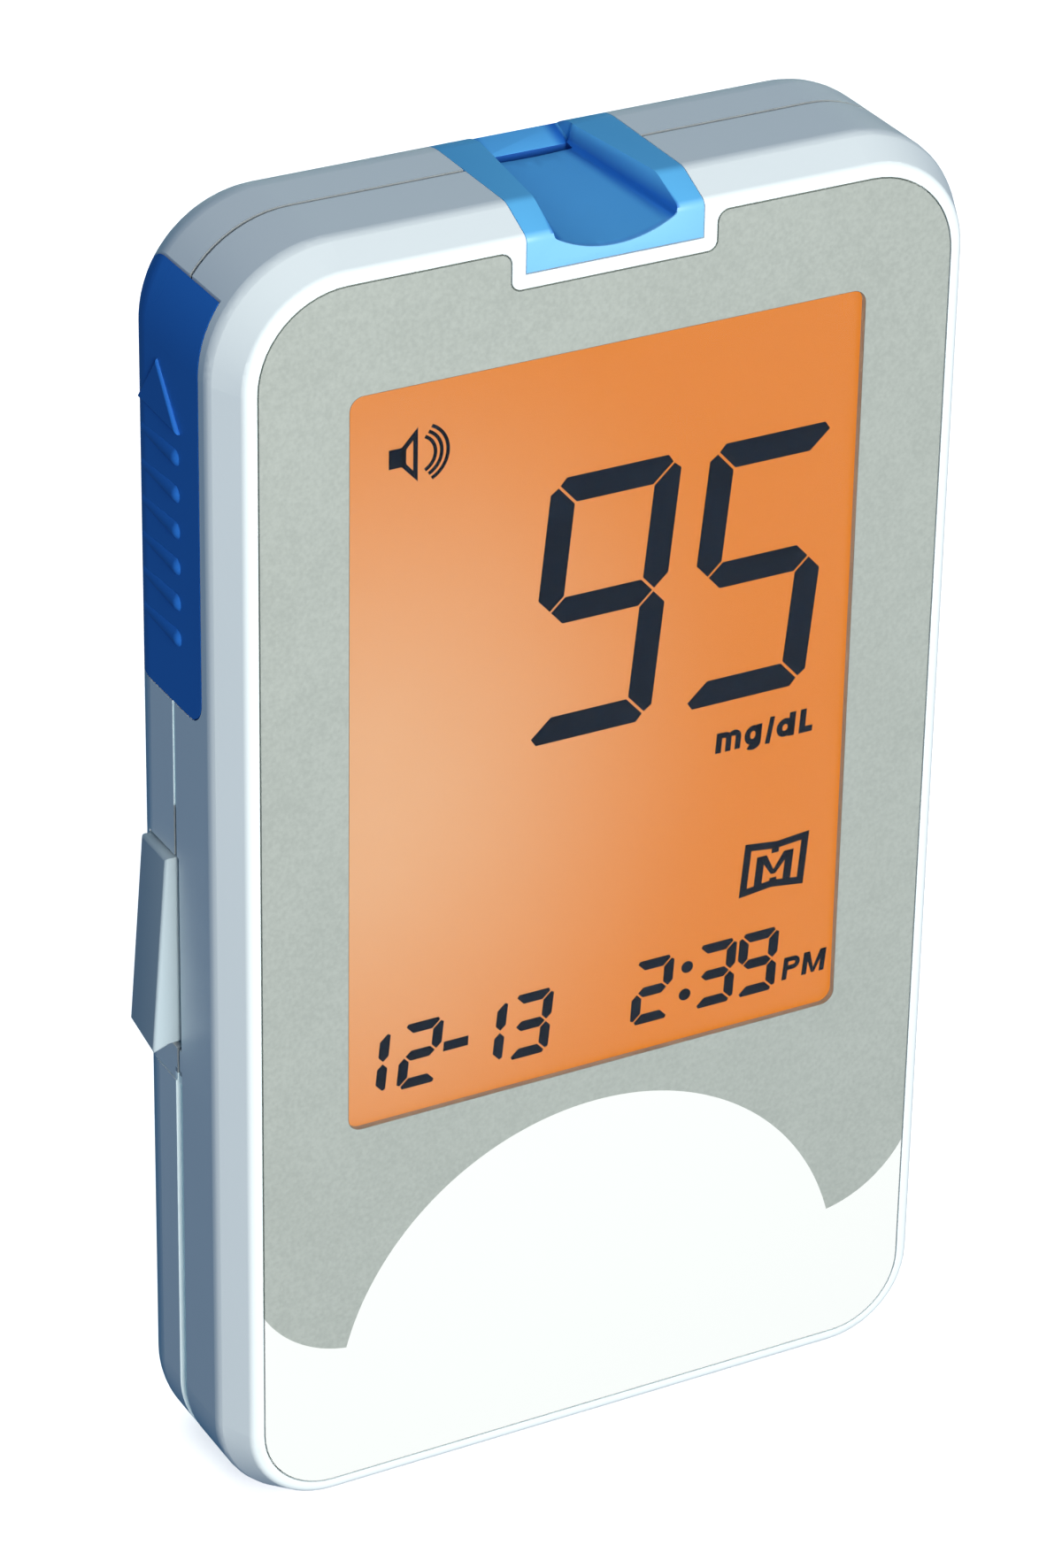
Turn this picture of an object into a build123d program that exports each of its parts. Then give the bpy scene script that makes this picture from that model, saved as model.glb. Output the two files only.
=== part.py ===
from build123d import *
from math import atan, degrees, sqrt
import os

os.makedirs("parts", exist_ok=True)

# Hand-held blood glucose meter, in millimetres.
# Construction frame: X to the right, Y back from the front face, Z up from the base.
# The last lines move every piece so that the origin is the middle of the flat base.


# ------------------------------------------------------------------ driving sizes
# Cells: two AAA cells lie across the meter, one above the other.
cell_diameter = 10.5
cell_length = 44.5
cell_nub_radius = 1.9
cell_nub_height = 0.9
cell_clearance = 0.15
cell_spacing = 0.3
cell_headroom = 1.2
contact_room = 3.0

# Walls and sheet thicknesses.
wall = 1.8
front_wall = 1.4
cover_wall = 1.4
tray_wall = 1.0
tray_floor = 0.8
liner_wall = 1.3
deck_wall = 1.2
plate_thickness = 0.8
tape_thickness = 0.1

# Clearances between pieces.
seat_gap = 0.1
slide_gap = 0.1
plate_gap = 0.12
tray_gap = 0.15
edge_gap = 0.15
pin_clearance = 0.05

# Outer form.
top_corner_radius = 8.7
bottom_corner_radius = 7.6
bevel_inset = 1.4
bevel_depth = 3.0
bevel_round = 2.0
front_round = 0.7
back_round = 4.1
cover_back_round = 4.6

# Seam between the shells, and the wider one in front of the battery cover.
seam_depth = 8.5
seam_gap = 0.3
cover_seam_depth = 8.1
cover_seam_gap = 1.0
lip_inset = 1.0
lip_length = 1.6

# Front plate and screen.
plate_inset = 2.3
screen_side_border = 8.8
screen_height = 55.8
screen_round = 1.0
glass_side_ledge = 1.8
glass_bottom_ledge = 2.4
glass_top_ledge = 2.9
glass_thickness = 1.9
diffuser_thickness = 1.6
holder_wall = 0.8
holder_ledge = 1.1
connector_strip_width = 1.4

# Circuit board.
board_thickness = 1.2
board_to_deck = 3.4
board_rise = 1.65
board_side_gap = 0.6
board_right_gap = 0.5
board_top_gap = 0.6
right_post_rise = 13.0
right_post_drop = 12.0
post_side_gap = 0.3
glass_rise = 1.1
controller_size = 10.0
controller_height = 1.4
controller_rise = 9.5
memory_width = 6.0
memory_height = 5.0
memory_rise = 12.0
side_chip_border = 5.7
side_chip_width = 5.0
side_chip_height = 6.0
side_chip_rise = 5.0
crystal_width = 3.2
regulator_size = 3.0
chip_thickness = 1.3

# Strip port: a saddle over the top with a trough and a slot.
port_width = 13.1
port_drop = 3.9
flange_height = 2.45
flange_reach = 2.05
flange_rise = 0.95
notch_border = 1.2
notch_round = 0.8
strip_width = 5.9
strip_slot = 0.9
strip_height = 3.4
trough_back_drop = 1.4
trough_front_drop = 3.2
trough_lip_rise = 1.3
trough_front_width = 9.1
trough_flare = 0.3
trough_foot_round = 0.5
trough_ramp_width = 7.0
trough_ramp_rise = 0.7
trough_ramp_length = 2.2
strip_connector_width = 12.0
strip_connector_length = 11.4
strip_connector_height = 4.6
strip_connector_drop = 1.2

# Ejector slider on the left side.
slider_thickness = 1.6
slider_front = 4.3
slider_corner = 1.8
slider_rise = 12.15
slider_travel = 5.0
rib_count = 6
rib_pitch = 2.66
rib_start = 5.1
rib_radius = 0.8
rib_height = 0.3
rib_back_height = 0.05
arrow_edge_round = 0.2
grip_length = 6.6
arrow_gap = 1.95
arrow_height = 4.1
arm_height = 3.0
finger_width = 2.0
finger_thickness = 0.6
finger_reach = 2.0
arm_headroom = 0.5
stem_width = 2.0
stem_length = 4.0
stem_rise = 5.3
stem_spacing = 8.0
stem_back_shift = 1.6
carriage_thickness = 1.4
carriage_foot = 1.5
carriage_head = 1.2
carriage_front_gap = 0.8
carriage_back_gap = 0.3
spring_wire = 0.4
spring_diameter = 3.0
spring_turns = 9
spring_length = 15.5
spring_side_gap = 0.9

# Side key on the left side, hinged at its upper end.
key_rise = 3.2
key_length = 14.6
key_front = 8.35
key_depth = 4.35
key_proud_top = 0.7
key_proud_bottom = 1.85
key_hook = 0.6
key_slant = 0.8
key_edge_round = 0.25
key_wall_gap = 0.2
key_end_gap = 0.6
key_pin_radius = 0.6
key_press = 0.5
key_room = 1.4
key_reach = 0.8
key_pin_room = 0.6
key_pin_rise = 1.3
ear_thickness = 0.8
ear_head = 0.9
switch_rise = 4.0
switch_length = 6.0
switch_height = 3.4
switch_width = 3.4
plunger_radius = 0.9
plunger_reach = 1.0
plunger_sink = 2.0

# Battery cover.
deck_height = 6.95
deck_drop = 0.4
cover_travel = 6.0
rail_length = 2.5
rail_width = 0.9
tongue_thickness = 0.85
tongue_reach = 0.95
grip_groove_count = 5
grip_groove_pitch = 1.9
grip_groove_width = 0.9
grip_groove_depth = 0.35
grip_width = 18.0

# Clock-setting button under the battery cover.
set_button_x = -9.0
set_button_radius = 1.6
set_button_press = 0.3
set_button_flange = 1.25
set_button_flange_reach = 0.6
set_button_slack = 0.15
set_switch_size = 4.6

# Speaker and its grille.
speaker_radius = 10.0
speaker_depth = 3.8
speaker_rise = 19.5
gasket_thickness = 0.5
grille_ring_count = 3
grille_pitch = 2.3
grille_hole_radius = 0.6

# Screws.
case_screw_radius = 1.0
case_screw_head_radius = 1.8
case_screw_head_height = 1.3
case_screw_seat = 11.9
front_boss_radius = 1.9
back_boss_radius = 2.35
top_screw_x = 15.5
top_screw_gap = 0.55
board_screw_radius = 0.7
board_screw_head_radius = 1.3
board_screw_head_height = 0.9
post_radius = 1.4
screw_tip = 4.6

# Battery contacts.
contact_sheet = 0.3
contact_inset = 0.2
contact_spring_wire = 0.35
contact_spring_radius = 2.4
contact_spring_turns = 3
contact_width = 4.6
contact_reach = 3.5
contact_foot = 1.3
contact_tab_width = 1.5
contact_tab_rise = 2.0
positive_tab_x = 16.0
negative_tab_x = 11.0
contact_bump_radius = 1.6
contact_bump_tip = 1.1

# Label recess on the back.
label_width = 34.0
label_height = 17.0
label_depth = 0.25


# ------------------------------------------------------------------ worked-out sizes
front_floor = plate_thickness + tape_thickness + front_wall
tray_inset = wall + tray_gap

case_width = cell_length + 2 * (contact_room + tray_wall + tray_inset)
half_width = case_width / 2

# Depths, back from the front face.
tray_front = front_floor + seat_gap
cell_front = tray_front + tray_floor + seat_gap
case_depth = cell_front + cell_diameter + cell_headroom + cover_wall
inner_back = case_depth - wall
cell_axis_depth = cell_front + cell_diameter / 2
cover_inner_back = case_depth - cover_wall
cover_front = cover_seam_depth + cover_seam_gap
back_front = seam_depth + seam_gap
lip_end = seam_depth + lip_length
glass_front = plate_thickness + tape_thickness + seat_gap
glass_back = glass_front + glass_thickness
diffuser_front = glass_back + seat_gap / 2
diffuser_back = diffuser_front + diffuser_thickness
deck_back = cell_front + cell_diameter - deck_drop
deck_front = deck_back - deck_wall
board_back = deck_front - board_to_deck
board_front = board_back - board_thickness
strip_depth = board_back + strip_height
slot_front = strip_depth - strip_slot / 2
slot_back = strip_depth + strip_slot / 2
case_back_edge = case_depth + 1

# Heights, up from the base.
tray_half = half_width - tray_inset - tray_wall
tray_corner = bottom_corner_radius - tray_inset - tray_wall
tray_bottom = tray_inset + tray_wall
cell_half = cell_length / 2
corner_offset = cell_half - (tray_half - tray_corner)
corner_reach = tray_corner - sqrt(tray_corner ** 2 - corner_offset ** 2)
lower_cell_z = tray_bottom + corner_reach + cell_clearance + cell_diameter / 2
upper_cell_z = lower_cell_z + cell_diameter + cell_spacing
tray_ceiling = upper_cell_z + cell_diameter / 2 + cell_clearance
tray_top = tray_ceiling + tray_wall
cover_edge = tray_top + deck_height
board_bottom = tray_top + board_rise
glass_bottom = board_bottom + glass_rise
screen_bottom = glass_bottom + glass_bottom_ledge
screen_top = screen_bottom + screen_height
screen_z = (screen_bottom + screen_top) / 2
glass_top = screen_top + glass_top_ledge
flange_bottom = glass_top + flange_rise
port_bottom = flange_bottom + flange_height
case_height = port_bottom + port_drop
board_top = flange_bottom - board_top_gap
inner_top = case_height - wall
key_bottom = cover_edge + key_rise
key_top = key_bottom + key_length
slider_bottom = key_top + slider_rise
slider_ledge = slider_bottom - slide_gap - liner_wall

# Half widths and places across.
port_half = port_width / 2
flange_half = port_half + flange_reach
screen_width = case_width - 2 * screen_side_border
screen_half = screen_width / 2
glass_half = screen_half + glass_side_ledge
glass_z = (glass_bottom + glass_top) / 2
glass_height = glass_top - glass_bottom
holder_half = glass_half + seat_gap + holder_wall
post_x = holder_half + post_radius + post_side_gap
slider_face = -(half_width - slider_thickness)
liner_outer = slider_face + slide_gap
liner_inner = liner_outer + liner_wall
inner_left = -(half_width - wall)
key_inner = inner_left + key_reach
board_left = max(liner_inner + board_side_gap, key_inner + key_room)
board_right = half_width - wall - board_right_gap
tray_outer = half_width - tray_inset
deck_screw_x = tray_outer - back_boss_radius
deck_screw_z = (tray_top + cover_edge) / 2
top_screw_z = inner_top - front_boss_radius - top_screw_gap
strip_half = strip_width / 2

case_screw_places = [
    (-top_screw_x, top_screw_z),
    (top_screw_x, top_screw_z),
    (-deck_screw_x, deck_screw_z),
    (deck_screw_x, deck_screw_z),
]

# Clock-setting button: its flange lies under the deck, above the switch.
set_button_front = deck_front - seat_gap - set_button_flange
set_switch_back = set_button_front - set_button_press - set_button_slack

# Side key: pin, ears and the switch behind it.
key_back = key_front + key_depth
key_pin_x = inner_left + key_pin_radius + key_pin_room
key_pin_z = key_top + key_pin_radius + key_pin_rise
ear_top = key_pin_z + key_pin_radius + ear_head
key_arm_front = back_front + seat_gap + ear_thickness + key_wall_gap
key_arm_back = key_back - seat_gap - ear_thickness - key_wall_gap
switch_z = key_bottom + switch_rise
switch_front = board_left
plunger_depth = board_back + switch_height / 2
speaker_z = tray_top + speaker_rise + speaker_radius / 2

left_post_z = (ear_top + slider_ledge) / 2
post_places = [
    (-post_x, left_post_z),
    (post_x, board_bottom + right_post_rise),
    (post_x, board_top - right_post_drop),
]

# Ejector: carriage behind the liner, spring above its arm.
stem_depth = (case_screw_seat + back_front) / 2 + stem_back_shift
stem_front = stem_depth - stem_width / 2
stem_back = stem_depth + stem_width / 2
lower_stem_z = slider_bottom + stem_rise
upper_stem_z = lower_stem_z + stem_length + stem_spacing
carriage_left = liner_inner + slide_gap
carriage_right = carriage_left + carriage_thickness
connector_top = flange_bottom - strip_connector_drop
connector_bottom = connector_top - strip_connector_length
arm_top = connector_bottom - slider_travel - arm_headroom
arm_bottom = arm_top - arm_height
finger_top = connector_bottom + finger_reach
spring_x = carriage_right + spring_diameter / 2 + spring_side_gap
spring_top = arm_top + spring_length


# ------------------------------------------------------------------ helpers
def at_depth(depth):
    """Plane across the meter, facing forwards, at a depth behind the front face."""
    return Plane(origin=(0, depth, 0), x_dir=(1, 0, 0), z_dir=(0, -1, 0))


def slab(outline, front, back):
    """Solid from a flat outline, between two depths behind the front face."""
    return extrude(at_depth(back) * outline, back - front)


def block(x0, x1, y0, y1, z0, z1):
    """Box between two corners."""
    centre = Pos((x0 + x1) / 2, (y0 + y1) / 2, (z0 + z1) / 2)
    return centre * Box(x1 - x0, y1 - y0, z1 - z0)


def round_bar(x, z, radius, front, back):
    """Cylinder that runs from front to back."""
    return slab(Pos(x, z) * Circle(radius), front, back)


def case_outline(inset):
    """The meter's front outline, drawn in by an inset."""
    outline = Pos(0, case_height / 2) * Rectangle(case_width - 2 * inset, case_height - 2 * inset)
    upper = outline.vertices().sort_by(Axis.Y)[2:]
    outline = fillet(upper, top_corner_radius - inset)
    lower = outline.vertices().sort_by(Axis.Y)[:2]
    return fillet(lower, bottom_corner_radius - inset)


def edges_at_depth(body, depth):
    """Edges that lie flat at one depth."""
    return body.edges().filter_by_position(Axis.Y, depth - 0.01, depth + 0.01)


def meter_form(back_radius):
    """Outer form: a rounded slab with a bevelled front and a rounded back edge."""
    outline = case_outline(0)
    taper = degrees(atan(bevel_inset / bevel_depth))
    body = slab(outline, bevel_depth, case_depth)
    body += extrude(at_depth(bevel_depth) * outline, bevel_depth, taper=taper)
    body = fillet(edges_at_depth(body, case_depth), back_radius)
    body = fillet(edges_at_depth(body, bevel_depth), bevel_round)
    return fillet(edges_at_depth(body, 0), front_round)


def cavity_form(margin):
    """Space inside the shells, drawn in by a margin."""
    inset = wall + margin
    body = slab(case_outline(inset), front_floor + margin, inner_back - margin)
    return fillet(edges_at_depth(body, inner_back - margin), back_round - inset)


def whole_width(y0, y1, z0, z1):
    """Box over the meter's full width."""
    return block(-case_width, case_width, y0, y1, z0, z1)


def plate_outline(margin):
    """Front plate outline, notched round the strip port and grown by a margin."""
    plate = case_outline(plate_inset - margin)
    notch_half = port_half + notch_border - margin
    notch_floor = port_bottom - notch_border + margin
    notch = Pos(0, notch_floor + case_height / 2) * Rectangle(2 * notch_half, case_height)
    outline = plate - notch
    near_notch = [v for v in outline.vertices() if abs(v.X) < notch_half + 0.01 and v.Y > notch_floor - 0.01]
    outer = [v for v in near_notch if v.Y > notch_floor + 0.5]
    outline = fillet(outer, notch_round + margin)
    on_floor = [v for v in outline.vertices() if abs(v.Y - notch_floor) < 0.01]
    inner = [v for v in on_floor if abs(abs(v.X) - notch_half) < 0.01]
    return fillet(inner, notch_round - margin)


def screen_outline(margin):
    """Window outline, grown by a margin."""
    window = RectangleRounded(screen_width + 2 * margin, screen_height + 2 * margin, screen_round + margin)
    return Pos(0, screen_z) * window


def glass_outline(margin):
    """Display glass outline, grown by a margin."""
    return Pos(0, glass_z) * Rectangle(2 * (glass_half + margin), glass_height + 2 * margin)


def slider_zone(margin):
    """Space of the ejector slider, grown by a margin on its closed sides."""
    front = slider_front - margin
    bottom = slider_bottom - margin
    across = case_back_edge - front
    height = case_height + 1 - bottom
    outline = Pos(front + across / 2, bottom + height / 2) * Rectangle(across, height)
    corner = outline.vertices().sort_by(Axis.X)[:2].sort_by(Axis.Y)[0]
    outline = fillet(corner, slider_corner + margin)
    return extrude(Plane.YZ.offset(slider_face + margin) * outline, -2 * slider_thickness)


def port_cutout():
    """Gap in both shells for the strip port's saddle."""
    half = port_half + seat_gap
    return block(-half, half, -1, case_back_edge, port_bottom - seat_gap, case_height + 1)


def key_zone(front, back, margin):
    """Stretch of the left wall kept free of the seam's lip, for the side key and its ears."""
    low = key_bottom - 2.0 - margin
    high = ear_top + 0.2 + margin
    return block(-case_width, key_inner, front, back, low, high)


def screw(x, z, radius, head_radius, head_height, seat, tip):
    """Pan-head screw from the back, with a cross recess."""
    body = round_bar(x, z, radius, tip, seat)
    body += round_bar(x, z, head_radius, seat, seat + head_height)
    recess_front = seat + head_height / 2
    recess_back = seat + head_height + 1
    arm = head_radius * 0.6
    slot = 0.2
    body -= block(x - arm, x + arm, recess_front, recess_back, z - slot, z + slot)
    body -= block(x - slot, x + slot, recess_front, recess_back, z - arm, z + arm)
    return body


def coil(radius, wire, length, turns):
    """Round-wire coil along Z, from 0 to its length."""
    rise = length - wire
    path = Helix(pitch=rise / turns, height=rise, radius=radius)
    section = Plane(origin=path @ 0, z_dir=path % 0) * Circle(wire / 2)
    return Pos(0, 0, wire / 2) * sweep(section, path=path)


def leaf_contact(x, foot_z, rise, length):
    """Bent leaf on the back of the board, its tip raised towards the back."""
    half = 0.3
    sheet = 0.2
    near = board_back + 0.02
    tip_y = board_back + rise
    points = [
        (near, foot_z),
        (near + sheet, foot_z),
        (near + sheet, foot_z + 1.6),
        (tip_y, foot_z + length * 0.85),
        (tip_y - 0.1, foot_z + length),
        (tip_y - 0.1 - sheet, foot_z + length),
        (tip_y - sheet * 1.2, foot_z + length * 0.86),
        (near, foot_z + 1.8),
    ]
    profile = make_face(Polyline(*points, close=True))
    return extrude(Plane.YZ.offset(x - half) * profile, 2 * half)


# ------------------------------------------------------------------ shells
def front_casing():
    """Front shell with its plate recess, screen opening, seam lip, bosses and board posts."""
    body = meter_form(back_round)
    rear_of_shell = whole_width(seam_depth, case_back_edge, -1, case_height + 1)
    rear_of_shell += whole_width(cover_seam_depth, case_back_edge, -1, cover_edge)
    shell = body - rear_of_shell - cavity_form(0)

    lip = slab(case_outline(lip_inset) - case_outline(wall), cover_seam_depth - 0.5, lip_end)
    lip -= block(-case_width, liner_inner + 0.1, seam_depth, case_depth, slider_ledge - 0.1, case_height)
    lip -= key_zone(seam_depth, case_depth, seat_gap)
    shell += lip

    liner = block(-case_width, liner_inner, front_floor - 0.2, seam_depth, slider_ledge, case_height)
    shell += liner & body
    shell -= slider_zone(slide_gap)
    shell -= port_cutout()

    notch_bottom = key_bottom - key_end_gap
    notch_top = key_top + key_wall_gap
    key_notch_front = key_front - key_wall_gap
    shell -= block(-case_width, key_inner, key_notch_front, case_depth, notch_bottom, notch_top)

    for x, z in case_screw_places:
        shell += round_bar(x, z, front_boss_radius, front_floor - 0.2, back_front - 0.05)
        shell -= round_bar(x, z, case_screw_radius + 0.02, screw_tip - 0.3, case_depth)
    for x, z in post_places:
        shell += round_bar(x, z, post_radius, front_floor - 0.2, board_front)
        shell -= round_bar(x, z, board_screw_radius + 0.02, screw_tip - 0.3, case_depth)

    shell -= slab(plate_outline(plate_gap), -1, plate_thickness + tape_thickness)
    shell -= slab(glass_outline(0.3), 0, front_floor + 0.1)
    return shell


def battery_tray():
    """Open tray for the cells, with the deck above it that carries two case screws."""
    outer = slab(case_outline(tray_inset), tray_front, deck_back)
    outer -= whole_width(0, case_depth, tray_top, case_height)
    inner = slab(case_outline(tray_inset + tray_wall), tray_front + tray_floor, case_depth)
    inner -= whole_width(0, case_depth, tray_ceiling, case_height)
    tray = outer - inner

    riser_top = cover_edge + tongue_reach + 2 * edge_gap + deck_wall
    tray += block(-tray_outer, tray_outer, deck_front, deck_back, tray_top - tray_wall, riser_top)
    half = half_width - wall + 0.3
    tray += block(-half, half, deck_front, deck_back, cover_edge, riser_top)
    tray += block(-half, half, deck_front, inner_back + 0.3, riser_top - deck_wall, riser_top)
    return tray


def back_casing():
    """Back shell with the battery tray, speaker ring, key ears and ejector liner."""
    body = meter_form(back_round)
    upper = whole_width(back_front, case_back_edge, cover_edge, case_height + 1)
    shell = (body & upper) - cavity_form(0)

    rebate = slab(case_outline(lip_inset - seat_gap), back_front - 1, lip_end + seat_gap)
    shell -= rebate - key_zone(back_front - 1, case_depth, 0)

    liner = block(-case_width, liner_inner, back_front, case_back_edge, slider_ledge, case_height)
    shell += liner & body
    shell -= slider_zone(slide_gap)

    for x, z in case_screw_places[:2]:
        shell += round_bar(x, z, back_boss_radius, back_front + 0.1, inner_back + 0.3)
    for z in (lower_stem_z, upper_stem_z):
        slot_bottom = z - stem_length / 2 - slide_gap
        slot_top = z + stem_length / 2 + slider_travel + slide_gap
        shell -= block(-half_width, liner_inner + 0.1, stem_front - slide_gap, stem_back + slide_gap,
                       slot_bottom, slot_top)

    spring_stop = block(carriage_right + 0.2, spring_x + spring_diameter / 2 + 0.6,
                        strip_depth - 2.0, inner_back + 0.3, spring_top, spring_top + 1.4)
    shell += spring_stop

    ring = Circle(speaker_radius + 1.0) - Circle(speaker_radius + 0.15)
    shell += slab(Pos(0, speaker_z) * ring, inner_back - speaker_depth + 0.6, inner_back + 0.3)
    shell += battery_tray()

    pocket_bottom = key_bottom - key_end_gap
    pocket_top = key_top + key_wall_gap
    pocket_back = key_back + key_wall_gap
    shell -= block(-case_width, key_inner - 0.6, 0, pocket_back, pocket_bottom, pocket_top)

    ear_outline = block(inner_left - 0.3, key_pin_x + 1.2, 0, case_depth, key_pin_z - 1.5, ear_top)
    front_ear = whole_width(back_front + seat_gap, back_front + seat_gap + ear_thickness, 0, case_height)
    back_ear = whole_width(key_back - seat_gap - ear_thickness, key_back - seat_gap, 0, case_height)
    shell += ear_outline & front_ear
    shell += ear_outline & back_ear
    pin_hole_radius = key_pin_radius + pin_clearance
    shell -= round_bar(key_pin_x, key_pin_z, pin_hole_radius, back_front, key_back)

    for x, z in case_screw_places[2:]:
        shell += round_bar(x, z, back_boss_radius, back_front + 0.1, deck_back)
    for x, z in case_screw_places:
        shell -= round_bar(x, z, case_screw_radius + 0.15, back_front, case_depth)
        shell -= round_bar(x, z, case_screw_head_radius + 0.15, case_screw_seat, case_back_edge)

    hole_radius = set_button_radius + slide_gap
    shell -= round_bar(set_button_x, deck_screw_z, hole_radius, deck_front - 1, deck_back + 1)

    holes = [Pos(0, speaker_z) * Circle(grille_hole_radius)]
    for ring_number in range(1, grille_ring_count + 1):
        places = PolarLocations(ring_number * grille_pitch, 6 * ring_number)
        holes += [Pos(0, speaker_z) * place * Circle(grille_hole_radius) for place in places]
    for hole in holes:
        shell -= slab(hole, inner_back - 0.5, case_back_edge)

    label_z = (speaker_z + speaker_radius + top_screw_z - case_screw_head_radius) / 2
    label = Pos(0, label_z) * RectangleRounded(label_width, label_height, 1.5)
    shell -= slab(label, case_depth - label_depth, case_back_edge)

    shell -= port_cutout()
    for slot in contact_slots():
        shell -= slot
    for groove in cover_rail_grooves():
        shell -= groove
    return shell


def contact_slots():
    """Slots in the tray's ceiling for the two contact legs."""
    x1 = tray_half - contact_inset + 0.1
    x0 = x1 - contact_sheet - 0.2
    low = tray_ceiling - 0.5
    high = tray_top + 0.5
    return [
        block(x0, x1, positive_leg[0] - 0.1, positive_leg[1] + 0.1, low, high),
        block(x0, x1, negative_leg[0] - 0.1, negative_leg[1] + 0.1, low, high),
    ]


def rail_places():
    """Heights of the cover's rail lugs when it is closed."""
    return [lower_cell_z + 2.6, upper_cell_z + 2.4]


def cover_rail_grooves():
    """Grooves in the tray's sides, each with an exit to the back one cover travel lower."""
    depth_front = cell_axis_depth + 2.9
    depth_back = depth_front + rail_width + 2 * slide_gap
    grooves = []
    for side in (-1, 1):
        x0, x1 = sorted((side * (tray_outer - 0.55), side * (tray_outer + 1)))
        for z in rail_places():
            top = z + rail_length / 2 + slide_gap
            exit_bottom = z - rail_length / 2 - cover_travel - slide_gap
            exit_top = z + rail_length / 2 - cover_travel + slide_gap
            grooves.append(block(x0, x1, depth_front, depth_back, exit_bottom, top))
            grooves.append(block(x0, x1, depth_front, case_depth, exit_bottom, exit_top))
    return grooves


def battery_cover():
    """Boot that closes the lower back and slides down off its rails."""
    body = meter_form(cover_back_round)
    top = cover_edge - edge_gap
    shell = body & whole_width(cover_front, case_back_edge, -1, top)
    hollow = slab(case_outline(cover_wall), 0, cover_inner_back)
    hollow = fillet(edges_at_depth(hollow, cover_inner_back), cover_back_round - cover_wall)
    shell -= hollow
    shell -= slab(case_outline(lip_inset - seat_gap), 0, lip_end + seat_gap)

    tongue_half = half_width - bottom_corner_radius
    tongue_back = inner_back - edge_gap
    tongue_front = tongue_back - tongue_thickness
    tongue_top = cover_edge + tongue_reach
    shell += block(-tongue_half, tongue_half, tongue_front, cover_inner_back + 0.2, top - 1.4, top)
    shell += block(-tongue_half, tongue_half, tongue_front, tongue_back, top - 1.4, tongue_top)

    lug_front = cell_axis_depth + 2.9 + slide_gap
    for side in (-1, 1):
        x0, x1 = sorted((side * (tray_outer - 0.45), side * (half_width - cover_wall + 0.2)))
        for z in rail_places():
            low = z - rail_length / 2
            shell += block(x0, x1, lug_front, lug_front + rail_width, low, low + rail_length)

    groove_front = case_depth - grip_groove_depth
    for row in range(grip_groove_count):
        z = top - 4.0 - row * grip_groove_pitch
        groove = Pos(0, z) * SlotOverall(grip_width, grip_groove_width)
        shell -= slab(groove, groove_front, case_back_edge)
    return shell


# ------------------------------------------------------------------ front plate and display
def faceplate():
    """Printed front plate with the window opening."""
    plate = slab(plate_outline(0) - screen_outline(0.03), 0, plate_thickness)
    return plate


def display_window():
    """Clear window, flush in the plate."""
    return slab(screen_outline(0), 0, plate_thickness)


def plate_tape():
    """Adhesive ring between the plate and the shell."""
    ring = plate_outline(-0.3) - glass_outline(0.3)
    return slab(ring, plate_thickness, plate_thickness + tape_thickness)


def lcd_glass():
    """Display glass."""
    return slab(glass_outline(0), glass_front, glass_back)


def light_box_outline(margin):
    """Opening of the light box behind the diffuser."""
    half = glass_half - holder_ledge + margin
    bottom = glass_bottom + connector_strip_width + 1.5 - margin
    top = glass_top - holder_ledge + margin
    return Pos(0, (bottom + top) / 2) * Rectangle(2 * half, top - bottom)


def connector_strip_box(margin):
    """Space of the elastomer connector, grown by a margin."""
    half = glass_half - 2.0 + margin
    low = glass_bottom + 0.4 - margin
    high = glass_bottom + 0.4 + connector_strip_width + margin
    return block(-half, half, glass_back + 0.02, board_front - 0.02, low, high)


def lcd_holder():
    """Frame that carries the glass and diffuser and makes the light box."""
    height = glass_height + 2 * (seat_gap + 0.6)
    outer = Pos(0, glass_z) * Rectangle(2 * holder_half, height)
    frame = slab(outer, front_floor + 0.05, board_front - 0.02)
    frame -= slab(glass_outline(seat_gap), 0, diffuser_back + 0.02)
    frame -= slab(light_box_outline(0), 0, case_depth)
    slot = connector_strip_box(0.1)
    frame -= slot
    for x, z in case_screw_places:
        frame -= round_bar(x, z, front_boss_radius + 0.15, 0, case_depth)
    return frame


def backlight_diffuser():
    """Milky sheet behind the glass, above the elastomer connector."""
    half = glass_half - 0.1
    bottom = glass_bottom + connector_strip_width + 0.8
    top = glass_top - 0.1
    sheet = Pos(0, (bottom + top) / 2) * Rectangle(2 * half, top - bottom)
    return slab(sheet, diffuser_front, diffuser_back)


def backlight_leds():
    """Six light-emitting diodes on the front of the board."""
    leds = []
    for x in (-screen_half * 0.55, screen_half * 0.55):
        for share in (-0.32, 0, 0.32):
            z = screen_z + share * screen_height
            leds.append(block(x - 1.6, x + 1.6, board_front - 0.7, board_front, z - 0.8, z + 0.8))
    return leds


def lcd_connector():
    """Elastomer strip from the glass to the board."""
    return connector_strip_box(0)


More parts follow.
